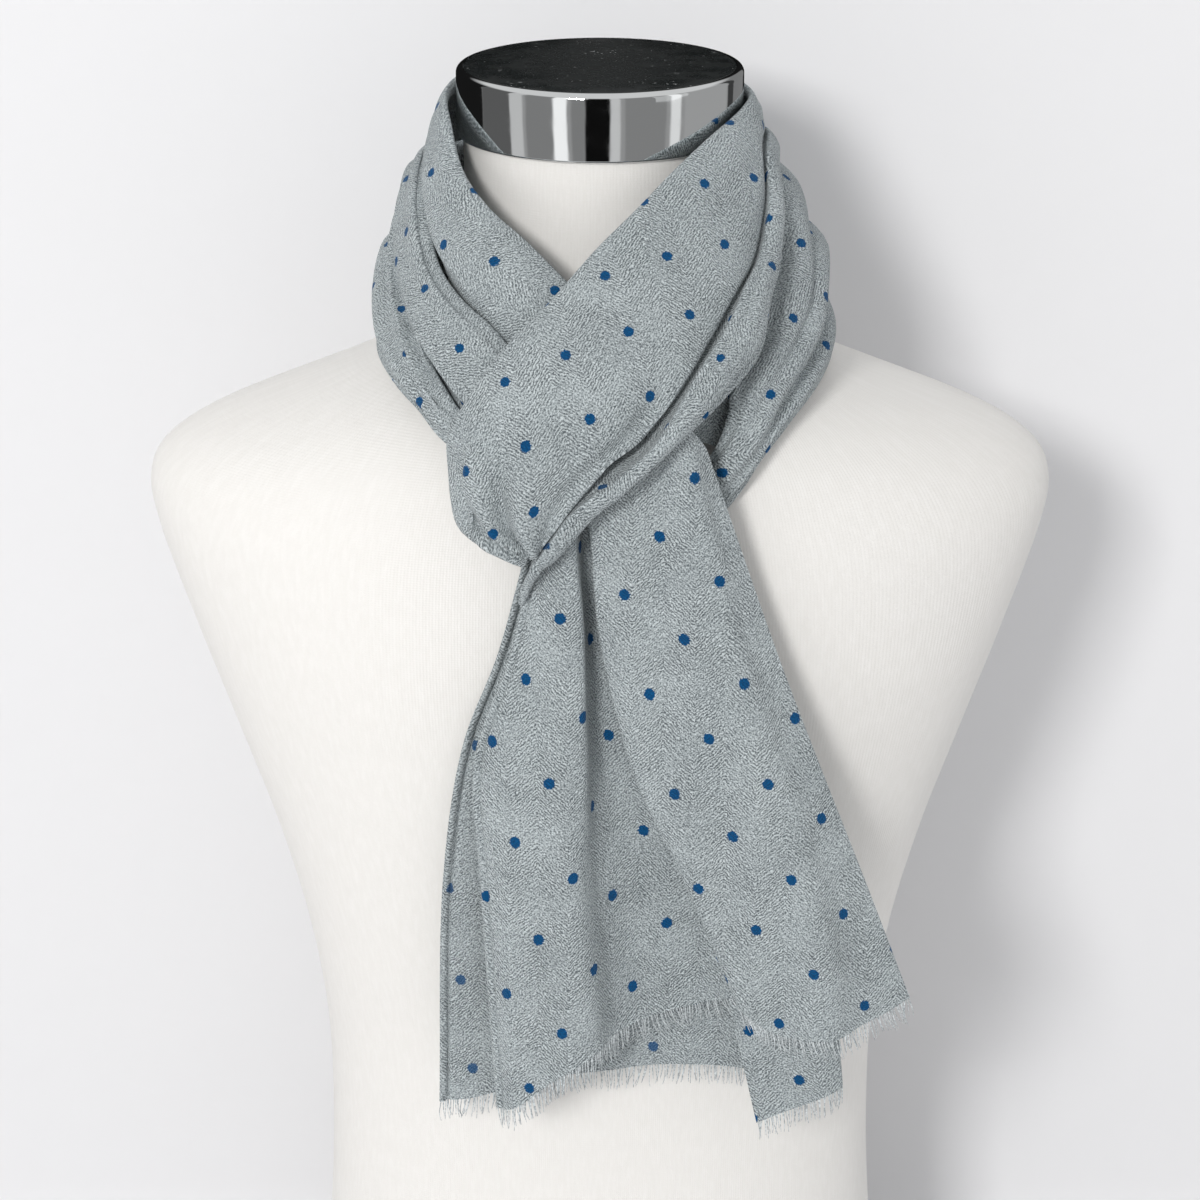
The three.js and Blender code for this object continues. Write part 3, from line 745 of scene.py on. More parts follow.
class Crease(NamedTuple):
    """A soft trough or ridge between two places, in shares of the cloth's length and width.

    width is its half width and rise its height, in millimetres; a trough's rise is negative.
    """

    along: float
    across: float
    to_along: float
    to_across: float
    width: float
    rise: float


FOLD_FADE = 0.08
FULL_FOLD_WIDTH = 60.0
CREASE_FADE = 0.3
RIPPLES, RIPPLE_SHARE = 7, 2.6
RIPPLE_TURN, RIPPLE_PERIODS, RIPPLE_LEAN = 0.9, (16, 52), 0.6
CALM_EDGE = (2.0, 9.0)


def fold_fade(fold: Fold, share: float) -> float:
    """How strongly a fold shows at a share of the strand's length."""
    rising = smoothstep(share, fold.start - FOLD_FADE, fold.start + FOLD_FADE)
    falling = smoothstep(share, fold.end - FOLD_FADE, fold.end + FOLD_FADE)
    return float(rising * (1 - falling))


def press_creases(grid: Array, creases: Sequence[Crease], wave: float, seed: int) -> Array:
    """Moves a grid along its normals by its creases and a slight unevenness.

    Args:
        grid: Array of shape (rows, columns, 3).
        creases: The troughs and ridges.
        wave: Height of the slight unevenness, in millimetres.
        seed: Seed of the unevenness.

    Returns:
        The moved grid.
    """
    across, along = arc_length(grid, ACROSS), arc_length(grid, ALONG)
    width, length = across[:, -1:], along[-1:, :]
    u, v = across / width, along / length
    size = np.array([width.mean(), length.mean()])
    flat_u, flat_v = u * size[0], v * size[1]
    height = np.zeros(grid.shape[:2])
    for crease in creases:
        start = np.array([crease.across, crease.along]) * size
        run = np.array([crease.to_across, crease.to_along]) * size - start
        reach = np.linalg.norm(run)
        du, dv = flat_u - start[0], flat_v - start[1]
        t = (du * run[0] + dv * run[1]) / reach**2
        off = (du * run[1] - dv * run[0]) / reach
        fade = smoothstep(t, 0.0, CREASE_FADE) * (1 - smoothstep(t, 1 - CREASE_FADE, 1.0))
        height += crease.rise * fade * bell(off, crease.width)
    random = np.random.default_rng(seed)
    for _ in range(RIPPLES):
        angle = random.uniform(-RIPPLE_TURN, RIPPLE_TURN)
        period = random.uniform(*RIPPLE_PERIODS)
        shift = random.uniform(0, 2 * math.pi)
        run = flat_u * math.cos(angle) + flat_v * math.sin(angle) * RIPPLE_LEAN
        height += wave / RIPPLE_SHARE * np.sin(2 * math.pi * run / period + shift)
    height *= smoothstep(np.minimum(u, 1 - u) * width, *CALM_EDGE)
    return grid + grid_normals(grid) * height[..., None]


# ---- the pattern on the cloth ----

SLANT_LEVEL = 430.0


@dataclass(frozen=True)
class DotLattice:
    """Where the woven dots fall on a piece.

    Attributes:
        shift_across: How far the pattern is moved across the flat cloth.
        shift_along: How far it is moved along it.
        turn: Its turn on the flat cloth, in degrees.
        slant: How far it is sheared, across for each step along.
        across: Its period one way.
        along: Its period the other way.
    """

    shift_across: float = 31.2
    shift_along: float = 14.35
    turn: float = -36.0
    slant: float = 0.0
    across: float = 39.0
    along: float = 41.0

    def layers(self, flat: Array) -> dict[str, Array]:
        """The cloth's flat coordinates in metres and its pattern coordinates in periods."""
        c, s = math.cos(math.radians(self.turn)), math.sin(math.radians(self.turn))
        slanted = flat.copy()
        slanted[..., 0] += self.slant * (flat[..., 1] - SLANT_LEVEL)
        turned = slanted @ np.array([[c, s], [-s, c]])
        shift = np.array([self.shift_across, self.shift_along])
        period = np.array([self.across, self.along])
        return {"cloth": flat * MM, "dots": (turned + shift) / period}


def apex(p: Array, q: Array, from_p: float, from_q: float) -> Array:
    """The point at two distances from p and q, on the left of the line from p to q."""
    size = gap(p, q)
    x = (from_p**2 - from_q**2 + size**2) / (2 * size)
    y = math.sqrt(max(0.0, from_p**2 - x**2))
    unit = (q - p) / size
    return p + unit * x + np.array([-unit[1], unit[0]]) * y


def unroll(grid: Array, near: int, far: int) -> Array:
    """Lays a strip flat, row by row.

    Args:
        grid: Array of shape (rows, columns, 3).
        near: The column of the strip's first edge, inside its roll.
        far: The column of its second edge.

    Returns:
        Array of shape (rows, columns, 2): distance across and along, in millimetres.
    """
    a, b = grid[:, near], grid[:, far]
    flat_a, flat_b = [np.zeros(2)], [np.array([gap(a[0], b[0]), 0.0])]
    for i in range(1, len(grid)):
        known = flat_a[-1], flat_b[-1]
        flat_b.append(apex(*known, gap(a[i - 1], b[i]), gap(b[i - 1], b[i])))
        flat_a.append(apex(known[0], flat_b[-1], gap(a[i - 1], a[i]), gap(a[i], b[i])))
    start, end = np.array(flat_a)[:, None], np.array(flat_b)[:, None]
    arc = arc_length(grid, ACROSS)
    reach = np.maximum(1e-6, arc[:, far : far + 1] - arc[:, near : near + 1])
    unit = (end - start) / np.maximum(1e-6, np.linalg.norm(end - start, axis=-1, keepdims=True))
    away = arc - arc[:, near : near + 1] - reach / 2
    return (start + end) / 2 + unit * away[..., None]


# ---- the scarf round the neck ----


class Section(NamedTuple):
    """One section across a strand, from line a to line b.

    over_a and over_b say how the cloth ends there: 1 rolled over, 0 tucked under the neighbour.
    """

    a: Point
    b: Point
    bulge: float
    over_a: float
    over_b: float
    roll_a: float
    roll_b: float
    folds: tuple[Fold, ...] = ()
    share: float = 0.0


class LeftRow(NamedTuple):
    """Section across the left strands; see Section for order and roll."""

    edge: Point
    fold: Point
    ridge: Point
    bottom: Point
    order: float
    bulges: tuple[float, float, float]
    roll: float
    edge_roll: float


class RightRow(NamedTuple):
    """Section across the right strands that cross the front; gap parts band and roll."""

    edge: Point
    fold: Point
    ridge: Point
    order: float
    bulges: tuple[float, float]
    roll: float
    edge_roll: float
    gap: float = 0.0


class LoneRow(NamedTuple):
    """Section of a strand that stands alone."""

    ridge: Point
    bottom: Point
    over: float
    bulge: float
    roll: float


class Strip(Enum):
    """The strips that lie one outside the other round the neck."""

    INNER = 0
    MIDDLE = 1
    OUTER = 2


def stripe(
    strip: Strip, row: LeftRow | RightRow, a: Point, b: Point, roll_b: float,
    folds: tuple[Fold, ...] = (), share: float = 0.0,
) -> Section:
    """A strip's section from line a to line b in a row; see Section."""
    inner, outer = strip is Strip.INNER, strip is Strip.OUTER
    return Section(
        a, b, row.bulges[strip.value], 1.0 if inner else row.order, 1.0 if outer else 1 - row.order,
        row.edge_roll if inner else row.roll, roll_b, folds, share,
    )


ROLLED = ((1.5, 0.0), (0.0, -1.0), (1.2, -2.0), (3.5, -2.0))
TUCKED = ((2.4, -1.4), (1.1, -3.4), (0.1, -4.6), (-0.8, -5.2))
INSIDE_KNOTS = 5
NARROWEST = 9.0
PINCH = 1.8
CLEARANCE, PRESSED_CLEARANCE = 1.6, 1.3
EDGE_STEPS = 4
INSIDE_STEPS = 6


@dataclass
class Strand:
    """One strip of the doubled cloth, from its sections to its piece.

    Attributes:
        name: The piece's name.
        nodes: The CAD nodes that it stands for.
        sections: Its sections, in order along it.
        creases: Soft troughs and ridges besides its folds.
        dots: Where the pattern falls on it.
        flat: Width and length of the cloth that shows, in metres; not used.
        step: Sampling step along it, in millimetres.
        wave: Height of its slight unevenness, in millimetres.
        thickness: Thickness of the doubled cloth, in millimetres.
    """

    name: str
    nodes: tuple[str, ...]
    sections: list[Section]
    creases: tuple[Crease, ...]
    dots: DotLattice
    flat: tuple[float, float]
    step: float = 2.4
    wave: float = 0.35
    thickness: float = 1.1

    def edge_knots(self, over: float, roll: float, width: float) -> list[tuple[float, float]]:
        """Points of one edge as distances inward and rises."""
        pinch = PINCH * 4 * over * (1 - over)
        drawn = min(roll, width / NARROWEST)
        knots = []
        for rolled, tucked in zip(ROLLED, TUCKED):
            inward = pinch + drawn * (tucked[0] * (1 - over) + rolled[0] * over)
            knots.append((inward, roll * tucked[1] * (1 - over) + drawn * rolled[1] * over))
        return knots

    def section_points(self, row: Section, outward: Array) -> Array:
        """Points across one section."""
        a, b = np.array(row.a, float), np.array(row.b, float)
        width = gap(a, b)
        near = self.edge_knots(row.over_a, row.roll_a, width)[::-1]
        far = [(width - d, rise) for d, rise in self.edge_knots(row.over_b, row.roll_b, width)]
        depth = min(1.0, width / FULL_FOLD_WIDTH)
        inside = []
        for at in np.arange(1, INSIDE_KNOTS + 1) / (INSIDE_KNOTS + 1):
            rise = row.bulge * math.sin(math.pi * at)
            for fold in row.folds:
                shown = depth * fold_fade(fold, row.share)
                rise += shown * fold.rise * bell(at - fold.at, fold.width)
            inside.append((width * at, rise))
        across = (b - a) / width
        return np.array([a + across * d + outward * rise for d, rise in near + inside + far])

    def grid(self, form: DressForm) -> Array:
        """The sampled middle surface, clear of the form."""
        sides = np.array([(row.a, row.b) for row in self.sections], float)
        middles = sides.mean(axis=1)
        last = len(middles) - 1
        net = []
        for i, row in enumerate(self.sections):
            along = middles[min(last, i + 1)] - middles[max(0, i - 1)]
            outward = np.cross(along, sides[i, 1] - sides[i, 0])
            if outward[:2] @ middles[i][:2] < 0:
                outward = -outward
            if abs(middles[i][0]) < 1:
                outward[0] = 0.0
            net.append(self.section_points(row, outward / np.linalg.norm(outward)))
        steps = [max(2, round(gap(p, q) / self.step)) for p, q in zip(middles, middles[1:])]
        edge, inside = [EDGE_STEPS] * 3, [INSIDE_STEPS] * (INSIDE_KNOTS + 1)
        grid = form.keep_clear(sample_net(np.array(net), steps, edge + inside + edge), CLEARANCE)
        grid = press_creases(grid, self.creases, self.wave, seed=len(self.name))
        return form.keep_clear(grid, PRESSED_CLEARANCE)

    def build(self, form: DressForm, wool: Material) -> None:
        """Makes the piece."""
        grid = self.grid(form)
        near = 3 * EDGE_STEPS
        layers = self.dots.layers(unroll(grid, near, grid.shape[1] - 1 - near))
        piece = wall(grid, self.thickness, layers).make(self.name, wool, Slot.WOOL, *self.nodes)
        log_cloth(self.name, grid)


@dataclass(frozen=True)
class NeckWrap:
    """The strips of doubled cloth round the neck, with the band that crosses the front.

    Attributes:
        tucked: Size of a left strip's second roll against its first, strip by strip.
    """

    left: tuple[LeftRow, ...] = table(
        LeftRow,
        ((8, -106, 643), (-10, -121, 618), (-31, -130, 599), (-42, -127, 585),
         1, (2, 3, 2), 2.2, 2),
        ((-3, -103, 655), (-24, -121, 628), (-47, -130, 605), (-56, -124, 590),
         1, (2, 3, 2), 2.4, 2),
        ((-15, -98.5, 665), (-37, -117, 637), (-61, -128, 612), (-69, -118, 597),
         1, (2, 4, 3), 2.6, 2),
        ((-34, -87, 681), (-50, -108, 648), (-71, -116, 620), (-79, -99, 604),
         1, (3, 4, 5), 2.8, 2),
        ((-50, -73, 691), (-63, -93, 656), (-81, -96, 632), (-90, -77, 607),
         1, (3, 4, 6), 3, 2),
        ((-62, -55, 702), (-75, -68, 667), (-89, -66, 647), (-99, -49, 611),
         1, (3, 4, 7), 3, 2),
        ((-69.5, -28, 719), (-81, -37, 686), (-93, -33, 668), (-102, -23, 612),
         1, (2, 3, 6), 2.4, 1.7),
        ((-72.5, 4, 728), (-79.5, 3, 700), (-91, 3, 687), (-101.5, 4, 611),
         0.9, (1, 2, 6), 1.8, 1.6),
        ((-62, 39, 729), (-71, 45, 696), (-82, 52, 675), (-92, 54, 609),
         0.7, (2, 3, 9), 1.9, 1.8),
        ((-35, 65, 729), (-41.5, 76, 692), (-50, 87, 662), (-57, 88, 607),
         0.5, (2, 4, 9), 2.2, 2),
        ((0, 74.5, 729), (0, 87, 690), (0, 100, 657), (0, 103, 604),
         0.5, (2, 4, 9), 2.2, 2),
    )
    right: tuple[RightRow, ...] = table(
        RightRow,
        ((35, 65, 729), (41.5, 76, 692), (50, 87, 662), 0.5, (2, 4), 2.2, 2),
        ((60, 37.5, 728), (69, 43, 702), (79, 51, 683), 0.2, (1.5, 3), 1.9, 1.5),
        ((70.2, 4, 727), (75.5, 5, 710), (83, 6, 698), 0, (0.5, 1.5), 1.4, 1.2),
        ((65.7, -26, 726), (74, -31, 708), (82, -32, 694), 0, (1, 2), 1.5, 1.4),
        ((50, -52, 718), (74, -56, 691), (83, -55, 681), 0, (3, 3), 2, 2),
        ((28, -78, 704), (69, -79, 672), (80.5, -75, 667), 0, (4, 4), 2.6, 2.2),
        ((6, -96, 686), (61, -98, 663), (76, -93, 655), 0, (4, 6), 2.8, 2.2),
        ((-14, -110, 668), (51, -116, 650), (71, -113, 638), 0, (5, 8), 3, 2.2),
        ((-31, -122, 652), (40, -132, 636), (56, -132, 624), 0, (6, 8), 3.2, 2.4),
        ((-45, -131, 639), (29, -144, 621), (40, -144, 611), 0, (6, 7), 3.2, 2.4, 0.1),
        ((-56, -139, 625), (17, -152, 608), (24, -152, 598), 0, (7, 5), 3.2, 2.6, 0.34),
        ((-65, -143, 611), (4, -158, 599), (8, -156, 584), 0, (7, 3), 3, 4, 0.36),
        ((-67.5, -143, 594), (-5, -160, 589), (-2, -156, 576), 0, (8, 2.5), 2.4, 8, 0.2),
        ((-66.5, -144, 580), (-14, -162, 579), (-10, -156, 567), 0, (7, 3), 1.9, 8),
        ((-62, -146, 565), (-20, -162, 570), (-16, -156, 560), 0, (5, 2.5), 1.7, 5),
        ((-48, -150, 559), (-25.5, -161, 561.5), (-21.5, -156, 554), 0, (2, 2), 1.4, 2.5),
        ((-35, -152, 553), (-28, -158, 557), (-25, -155, 551), 0, (0.5, 1), 1.1, 1.4),
    )
    twist: tuple[LoneRow, ...] = table(
        LoneRow,
        ((-31, -155, 551.5), (-26.5, -153, 548), 0.5, 1.4, 1.1),
        ((-33, -150, 545), (-29, -149, 543), 0.8, 1.3, 1.0),
        ((-34.3, -145.5, 538), (-31.2, -144.8, 536.8), 1, 0.9, 0.8),
        ((-35.4, -141, 530), (-33.8, -140.5, 529.3), 1, 0.3, 0.5),
    )
    loop: tuple[LoneRow, ...] = table(
        LoneRow,
        ((50, 87, 662), (57, 88, 607), 0.5, 9, 2.2),
        ((79, 51, 683), (93, 54, 609), 0.2, 9, 1.9),
        ((83, 6, 698), (106, 4, 611), 0, 9, 1.6),
        ((82, -32, 694), (108, -28, 611), 0, 9, 1.7),
        ((80, -60, 664), (103, -52, 608), 0.3, 10, 2),
        ((75, -80, 646), (96, -70, 603), 0.7, 9, 2.2),
        ((61, -104, 621), (86, -86, 596), 1, 8, 2.4),
        ((58, -110, 605), (73, -104, 584), 1, 6, 2.3),
        ((50, -113, 590), (63, -112, 572), 1, 5, 2),
        ((40, -114, 582), (50, -116, 561), 1, 3, 1.8),
        ((12, -115, 588), (14, -116, 560), 1, 1, 1.6),
        ((-20, -115, 594), (-20, -117, 563), 1, 1, 1.6),
        ((-46, -115, 598), (-46, -117, 568), 1, 1, 1.6),
    )
    inner: tuple[LoneRow, ...] = table(
        LoneRow,
        ((50, -80, 662), (70, -62, 660), 0.5, 1, 1.6),
        ((49.3, -100.8, 640), (70, -79.4, 636), 0.5, 1, 1.6),
        ((42, -106, 624), (65.5, -91.5, 617), 0.5, 1, 1.6),
        ((36, -109, 610), (59, -97, 602), 0.5, 1, 1.6),
        ((34, -110, 598), (52, -103, 590), 0.5, 1, 1.6),
    )
    outer_folds: tuple[Fold, ...] = table(
        Fold, (0.36, 0.07, -5, -0.1, 0.8), (0.7, 0.08, -4, 0.05, 1.1)
    )
    loop_folds: tuple[Fold, ...] = table(
        Fold, (0.66, 0.08, -5, -0.1, 0.72), (0.3, 0.08, -3.5, -0.1, 0.3)
    )
    tucked: tuple[float, float, float] = (0.85, 0.9, 1.0)

    def left_sections(self, strip: Strip) -> list[Section]:
        """Sections of a strip from the knot, round the left, to the centre back."""
        k = strip.value
        folds = self.outer_folds if strip is Strip.OUTER else ()
        sections = []
        for i, row in enumerate(self.left):
            lines = (row.edge, row.fold, row.ridge, row.bottom)
            roll = self.tucked[k] * (row.edge_roll if strip is Strip.INNER else row.roll)
            share = i / (len(self.left) - 1)
            sections.append(stripe(strip, row, lines[k], lines[k + 1], roll, folds, share))
        return sections

    def right_sections(self, strip: Strip) -> list[Section]:
        """Sections of the inner or middle strip from the back, round the right, to the knot."""
        sections = []
        for row in self.right:
            fold, ridge = np.array(row.fold), np.array(row.ridge)
            parted = tuple(fold + row.gap * (ridge - fold))
            a, b = (row.edge, row.fold) if strip is Strip.INNER else (parted, row.ridge)
            sections.append(stripe(strip, row, a, b, row.roll))
        return sections

    def lone_sections(self, rows: Sequence[LoneRow], folds: tuple[Fold, ...]) -> list[Section]:
        """Sections of a strand that stands alone."""
        return [
            Section(
                row.ridge, row.bottom, row.bulge, row.over, 1.0, row.roll, row.roll,
                folds, (i + 1) / len(rows),
            )
            for i, row in enumerate(rows)
        ]

    def strands(self) -> list[Strand]:
        """The strips round the neck and the cloth inside the loop."""
        return [
            Strand(
                "scarf_inner_strip",
                ("neck_inner_left", "front_band"),
                self.left_sections(Strip.INNER) + self.right_sections(Strip.INNER),
                table(
                    Crease,
                    (0.91, 0.5, 1.05, 0.78, 2.9, -6.5),
                    (0.9, 0.6, 1.03, 0.83, 2.6, 3.2),
                    (0.93, 0.36, 1.04, 0.66, 2.7, -5.0),
                    (0.92, 0.44, 1.04, 0.72, 2.4, 2.6),
                    (0.92, 0.24, 1.03, 0.5, 3.4, 2.4),
                    (0.84, 0.78, 1.02, 0.9, 3.2, -3.2),
                    (0.62, 0.7, 0.8, 0.35, 7.0, -0.9),
                    (0.55, 0.3, 0.72, 0.8, 6.0, 0.8),
                    (0.08, 0.6, 0.3, 0.35, 5.0, -0.8),
                ),
                DotLattice(15.6, 15.4, -42.0, -0.08, 39.0, 42.9),
                (0.06, 0.71),
            ),
            Strand(
                "scarf_middle_strip",
                ("neck_middle_left", "band_roll"),
                self.left_sections(Strip.MIDDLE) + self.right_sections(Strip.MIDDLE)
                + self.lone_sections(self.twist, ()),
                table(
                    Crease,
                    (0.66, 0.45, 0.97, 0.5, 1.8, -1.5),
                    (0.1, 0.45, 0.35, 0.6, 3.0, -1.4),
                ),
                DotLattice(9.75, 14.9, 84.0, across=39.0, along=36.0),
                (0.043, 0.775),
            ),
            Strand(
                "scarf_outer_strip",
                ("neck_outer_left", "loop_back"),
                self.left_sections(Strip.OUTER) + self.lone_sections(self.loop, self.loop_folds),
                table(
                    Crease,
                    (0.02, 0.34, 0.42, 0.3, 2.8, -3.4),
                    (0.01, 0.24, 0.34, 0.2, 2.2, -3.0),
                    (0.03, 0.62, 0.44, 0.58, 3.0, -3.4),
                    (0.02, 0.48, 0.3, 0.44, 3.6, 1.6),
                    (0.5, 0.34, 0.88, 0.4, 2.8, -3.2),
                    (0.52, 0.62, 0.86, 0.64, 3.0, -3.2),
                    (0.55, 0.48, 0.8, 0.52, 3.4, 1.4),
                ),
                DotLattice(),
                (0.075, 0.76),
            ),
            Strand(
                "scarf_loop_inside",
                ("loop_inner",),
                self.lone_sections(self.inner, ()),
                (Crease(0.0, 0.5, 1.0, 0.55, 2.0, -1.0),),
                DotLattice(),
                (0.038, 0.08),
                wave=0.15,
            ),
        ]


# ---- the hanging ends ----


class FoldLine(NamedTuple):
    """A fold line of a hanging end: x and z at the knot, x at three levels, x and z at the hem.

    out is how far the line stands out.
    """

    top: float
    top_z: float
    upper: float
    middle: float
    lower: float
    hem: float
    hem_z: float
    out: float
    top_out: float = 0.0


class Panel(NamedTuple):
    """A part of an end between two fold lines, where one stretch of the pattern shows.

    It ends at fold line last, and distances across it are measured from fold line reference.
    """

    last: int
    reference: int
    dots: DotLattice


class Depth(NamedTuple):
    """Where an end lies in depth at a level, and how open its folds are there."""

    y: float
    open: float


LEVELS = (500.0, 455.0, 390.0)
GROOVE_AT, GROOVE_WIDTH, GROOVE_DEPTH = 3.7, 0.9, 0.75
ROLL_AT, ROLL_WIDTH = 1.3, 1.2
LUMPS = ((0.18, 1.7, 0.0), (0.12, 0.63, 1.0))


@dataclass
class HangingEnd:
    """One hanging end with its fringe.

    Attributes:
        name: The piece's name.
        node: The CAD node that it stands for.
        lines: Its fold lines from the left edge to the right.
        depths: Its depth at the knot, at three levels and at the hem.
        creases: Soft troughs and ridges besides its folds.
        panels: Where the pattern falls on it, from the left edge to the right.
        flat: Width and length of the cloth that shows, in metres; not used.
        reverse_front: Whether its front shows the cloth's reverse.
        selvedge: Height of the rolled selvedge along its left edge, in millimetres.
        seed: Seed of its unevenness and fringe.
    """

    name: str
    node: str
    lines: tuple[FoldLine, ...]
    depths: tuple[Depth, ...]
    creases: tuple[Crease, ...]
    panels: tuple[Panel, ...]
    flat: tuple[float, float]
    reverse_front: bool
    selvedge: float
    seed: int
    thickness: float = 1.0
    wave: float = 0.4
    edge_steps: int = 14
    across_steps: int = 7
    along_steps: tuple[int, ...] = (30, 18, 26, 42)

    def column(self, line: int) -> int:
        """The grid column of a fold line."""
        return self.edge_steps + (line - 1) * self.across_steps if line else 0

    def grid(self, form: DressForm) -> Array:
        """The sampled middle surface, clear of the form."""
        net = []
        for i, depth in enumerate(self.depths):
            row = []
            for line in self.lines:
                xs = (line.top, line.upper, line.middle, line.lower, line.hem)
                forward = depth.open * line.out + (line.top_out if i == 0 else 0.0)
                row.append((xs[i], depth.y - forward, (line.top_z, *LEVELS, line.hem_z)[i]))
            net.append(row)
        across = [self.edge_steps] + [self.across_steps] * (len(self.lines) - 2)
        grid = sample_net(np.array(net, float), self.along_steps, across)
        grid = form.keep_clear(grid, CLEARANCE)
        grid = press_creases(grid, self.creases, self.wave, self.seed)
        groove = self.selvedge * GROOVE_DEPTH
        groove = groove * bell(arc_length(grid, ACROSS) - GROOVE_AT, GROOVE_WIDTH)
        return form.keep_clear(grid - grid_normals(grid) * groove[..., None], PRESSED_CLEARANCE)

    def layers(self, grid: Array) -> dict[str, Array]:
        """Flat and pattern coordinates: distance across at a level, and height, panel by panel."""
        arc = arc_length(grid[..., :2], ACROSS)
        parts, first = [], 0
        for panel in self.panels:
            k, last = self.column(panel.reference), self.column(panel.last) + 1
            across = arc - arc[:, k : k + 1] + grid[:, k : k + 1, 0]
            flat = np.stack([across, grid[..., 2]], axis=-1)
            parts.append(panel.dots.layers(flat[:, first:last]))
            first = last
        return {name: np.concatenate([part[name] for part in parts], axis=1) for name in parts[0]}

    def walls(self, grid: Array) -> Array:
        """Thickness at each point: the cloth, thicker where its selvedge is rolled."""
        along = arc_length(grid, ALONG)
        lumps = 1 + sum(height * np.sin(along * rate + shift) for height, rate, shift in LUMPS)
        roll = bell(arc_length(grid, ACROSS) - ROLL_AT, ROLL_WIDTH) * self.selvedge
        return self.thickness + roll * lumps

    def build(self, form: DressForm, wool: Material, yarn: Material) -> None:
        """Makes the cloth and its fringe."""
        grid = self.grid(form)
        data = wall(grid, self.walls(grid), self.layers(grid), self.reverse_front)
        piece = data.make(self.name, wool, Slot.WOOL, self.node)
        log_cloth(self.name, grid)
        ends = Fringe(self.seed).mesh(grid, form)
        fringe = ends.make(f"{self.name}_fringe", yarn, Slot.WOOL, f"{self.node}_fringe")


@dataclass(frozen=True)
class Fringe:
    """Loose yarn ends below a hem.

    Attributes:
        seed: Seed of the yarns' places and bends.
        spacing: Mean distance between yarns, in millimetres.
        length: Mean length of a yarn below the hem.
        width: Mean width of a yarn at the hem.
        rooted: How far a yarn starts above the hem.
        off_hem: How far at most it starts out of the hem's middle surface.
        clearance: How far it stays clear of the form.
        bends: Number of steps along a yarn.
        kept: Share of a yarn's sway that its neighbour takes over.
        sway: Spread of its sway, as a share of its length.
        curl: Spread of its sideways bend.
        lift: Spread of its bend outward.
        shrink: How much a leaning yarn hangs shorter.
        hook: How strongly curl bends its middle.
        taper: How much thinner its end is.
    """

    seed: int
    spacing: float = 1.15
    length: float = 12.0
    width: float = 0.88
    rooted: float = 1.5
    off_hem: float = 0.35
    clearance: float = 0.8
    bends: int = 5
    kept: float = 0.82
    sway: float = 0.06
    curl: float = 0.13
    lift: float = 0.08
    shrink: float = 0.12
    hook: float = 1.6
    taper: float = 0.6

    def mesh(self, grid: Array, form: DressForm) -> MeshData:
        """The yarn ends as one mesh of thin three-sided tapering tubes.

        Args:
            grid: The hanging end's middle surface; its last row is the hem.
            form: The dress form, which the yarn ends stay clear of.

        Returns:
            The closed tubes.
        """
        random = np.random.default_rng(self.seed)
        rows = (grid[-1], grid[-4], grid_normals(grid)[-1])
        arc = arc_length(grid[-1], ALONG)
        count = int(arc[-1] / self.spacing)
        t = np.arange(self.bends + 1)[:, None] / self.bends
        tubes, faces, sway = [], [], 0.0
        for k in range(count):
            across = (k + random.uniform(0.1, 0.9)) * arc[-1] / count
            at, top, out = (
                np.array([np.interp(across, arc, row[:, axis]) for axis in range(3)])
                for row in rows
            )
            down = (at - top) / np.linalg.norm(at - top)
            side = np.cross(out, down)
            side /= np.linalg.norm(side)
            sway = self.kept * sway + random.normal(0, self.sway)
            lean = sway + random.normal(0, self.sway)
            curl, lift = random.normal(0, self.curl), random.normal(0, self.lift)
            length = self.length * random.uniform(0.8, 1.08)
            root = at - down * self.rooted + out * random.uniform(-self.off_hem, self.off_hem)
            spine = (
                root + down * (length * t * (1 - self.shrink * t * abs(lean)))
                + side * length * t**2 * (lean + curl * (1 - t) * self.hook)
                + out * length * lift * t**2
            )
            spine = form.keep_clear(spine, self.clearance)
            radius = self.width * random.uniform(0.75, 1.15) / 2 * (1 - self.taper * t)
            angles = 2 * math.pi * np.arange(3)[:, None] / 3 + k
            corners = side * np.cos(angles) + out * np.sin(angles)
            tube = spine[:, None] + radius[..., None] * corners
            index = np.arange(tube.size // 3).reshape(-1, 3)
            faces += tube_faces(index + k * index.size)
            tubes.append(tube.reshape(-1, 3))
        return MeshData(np.concatenate(tubes), faces, YARN_SHARP)


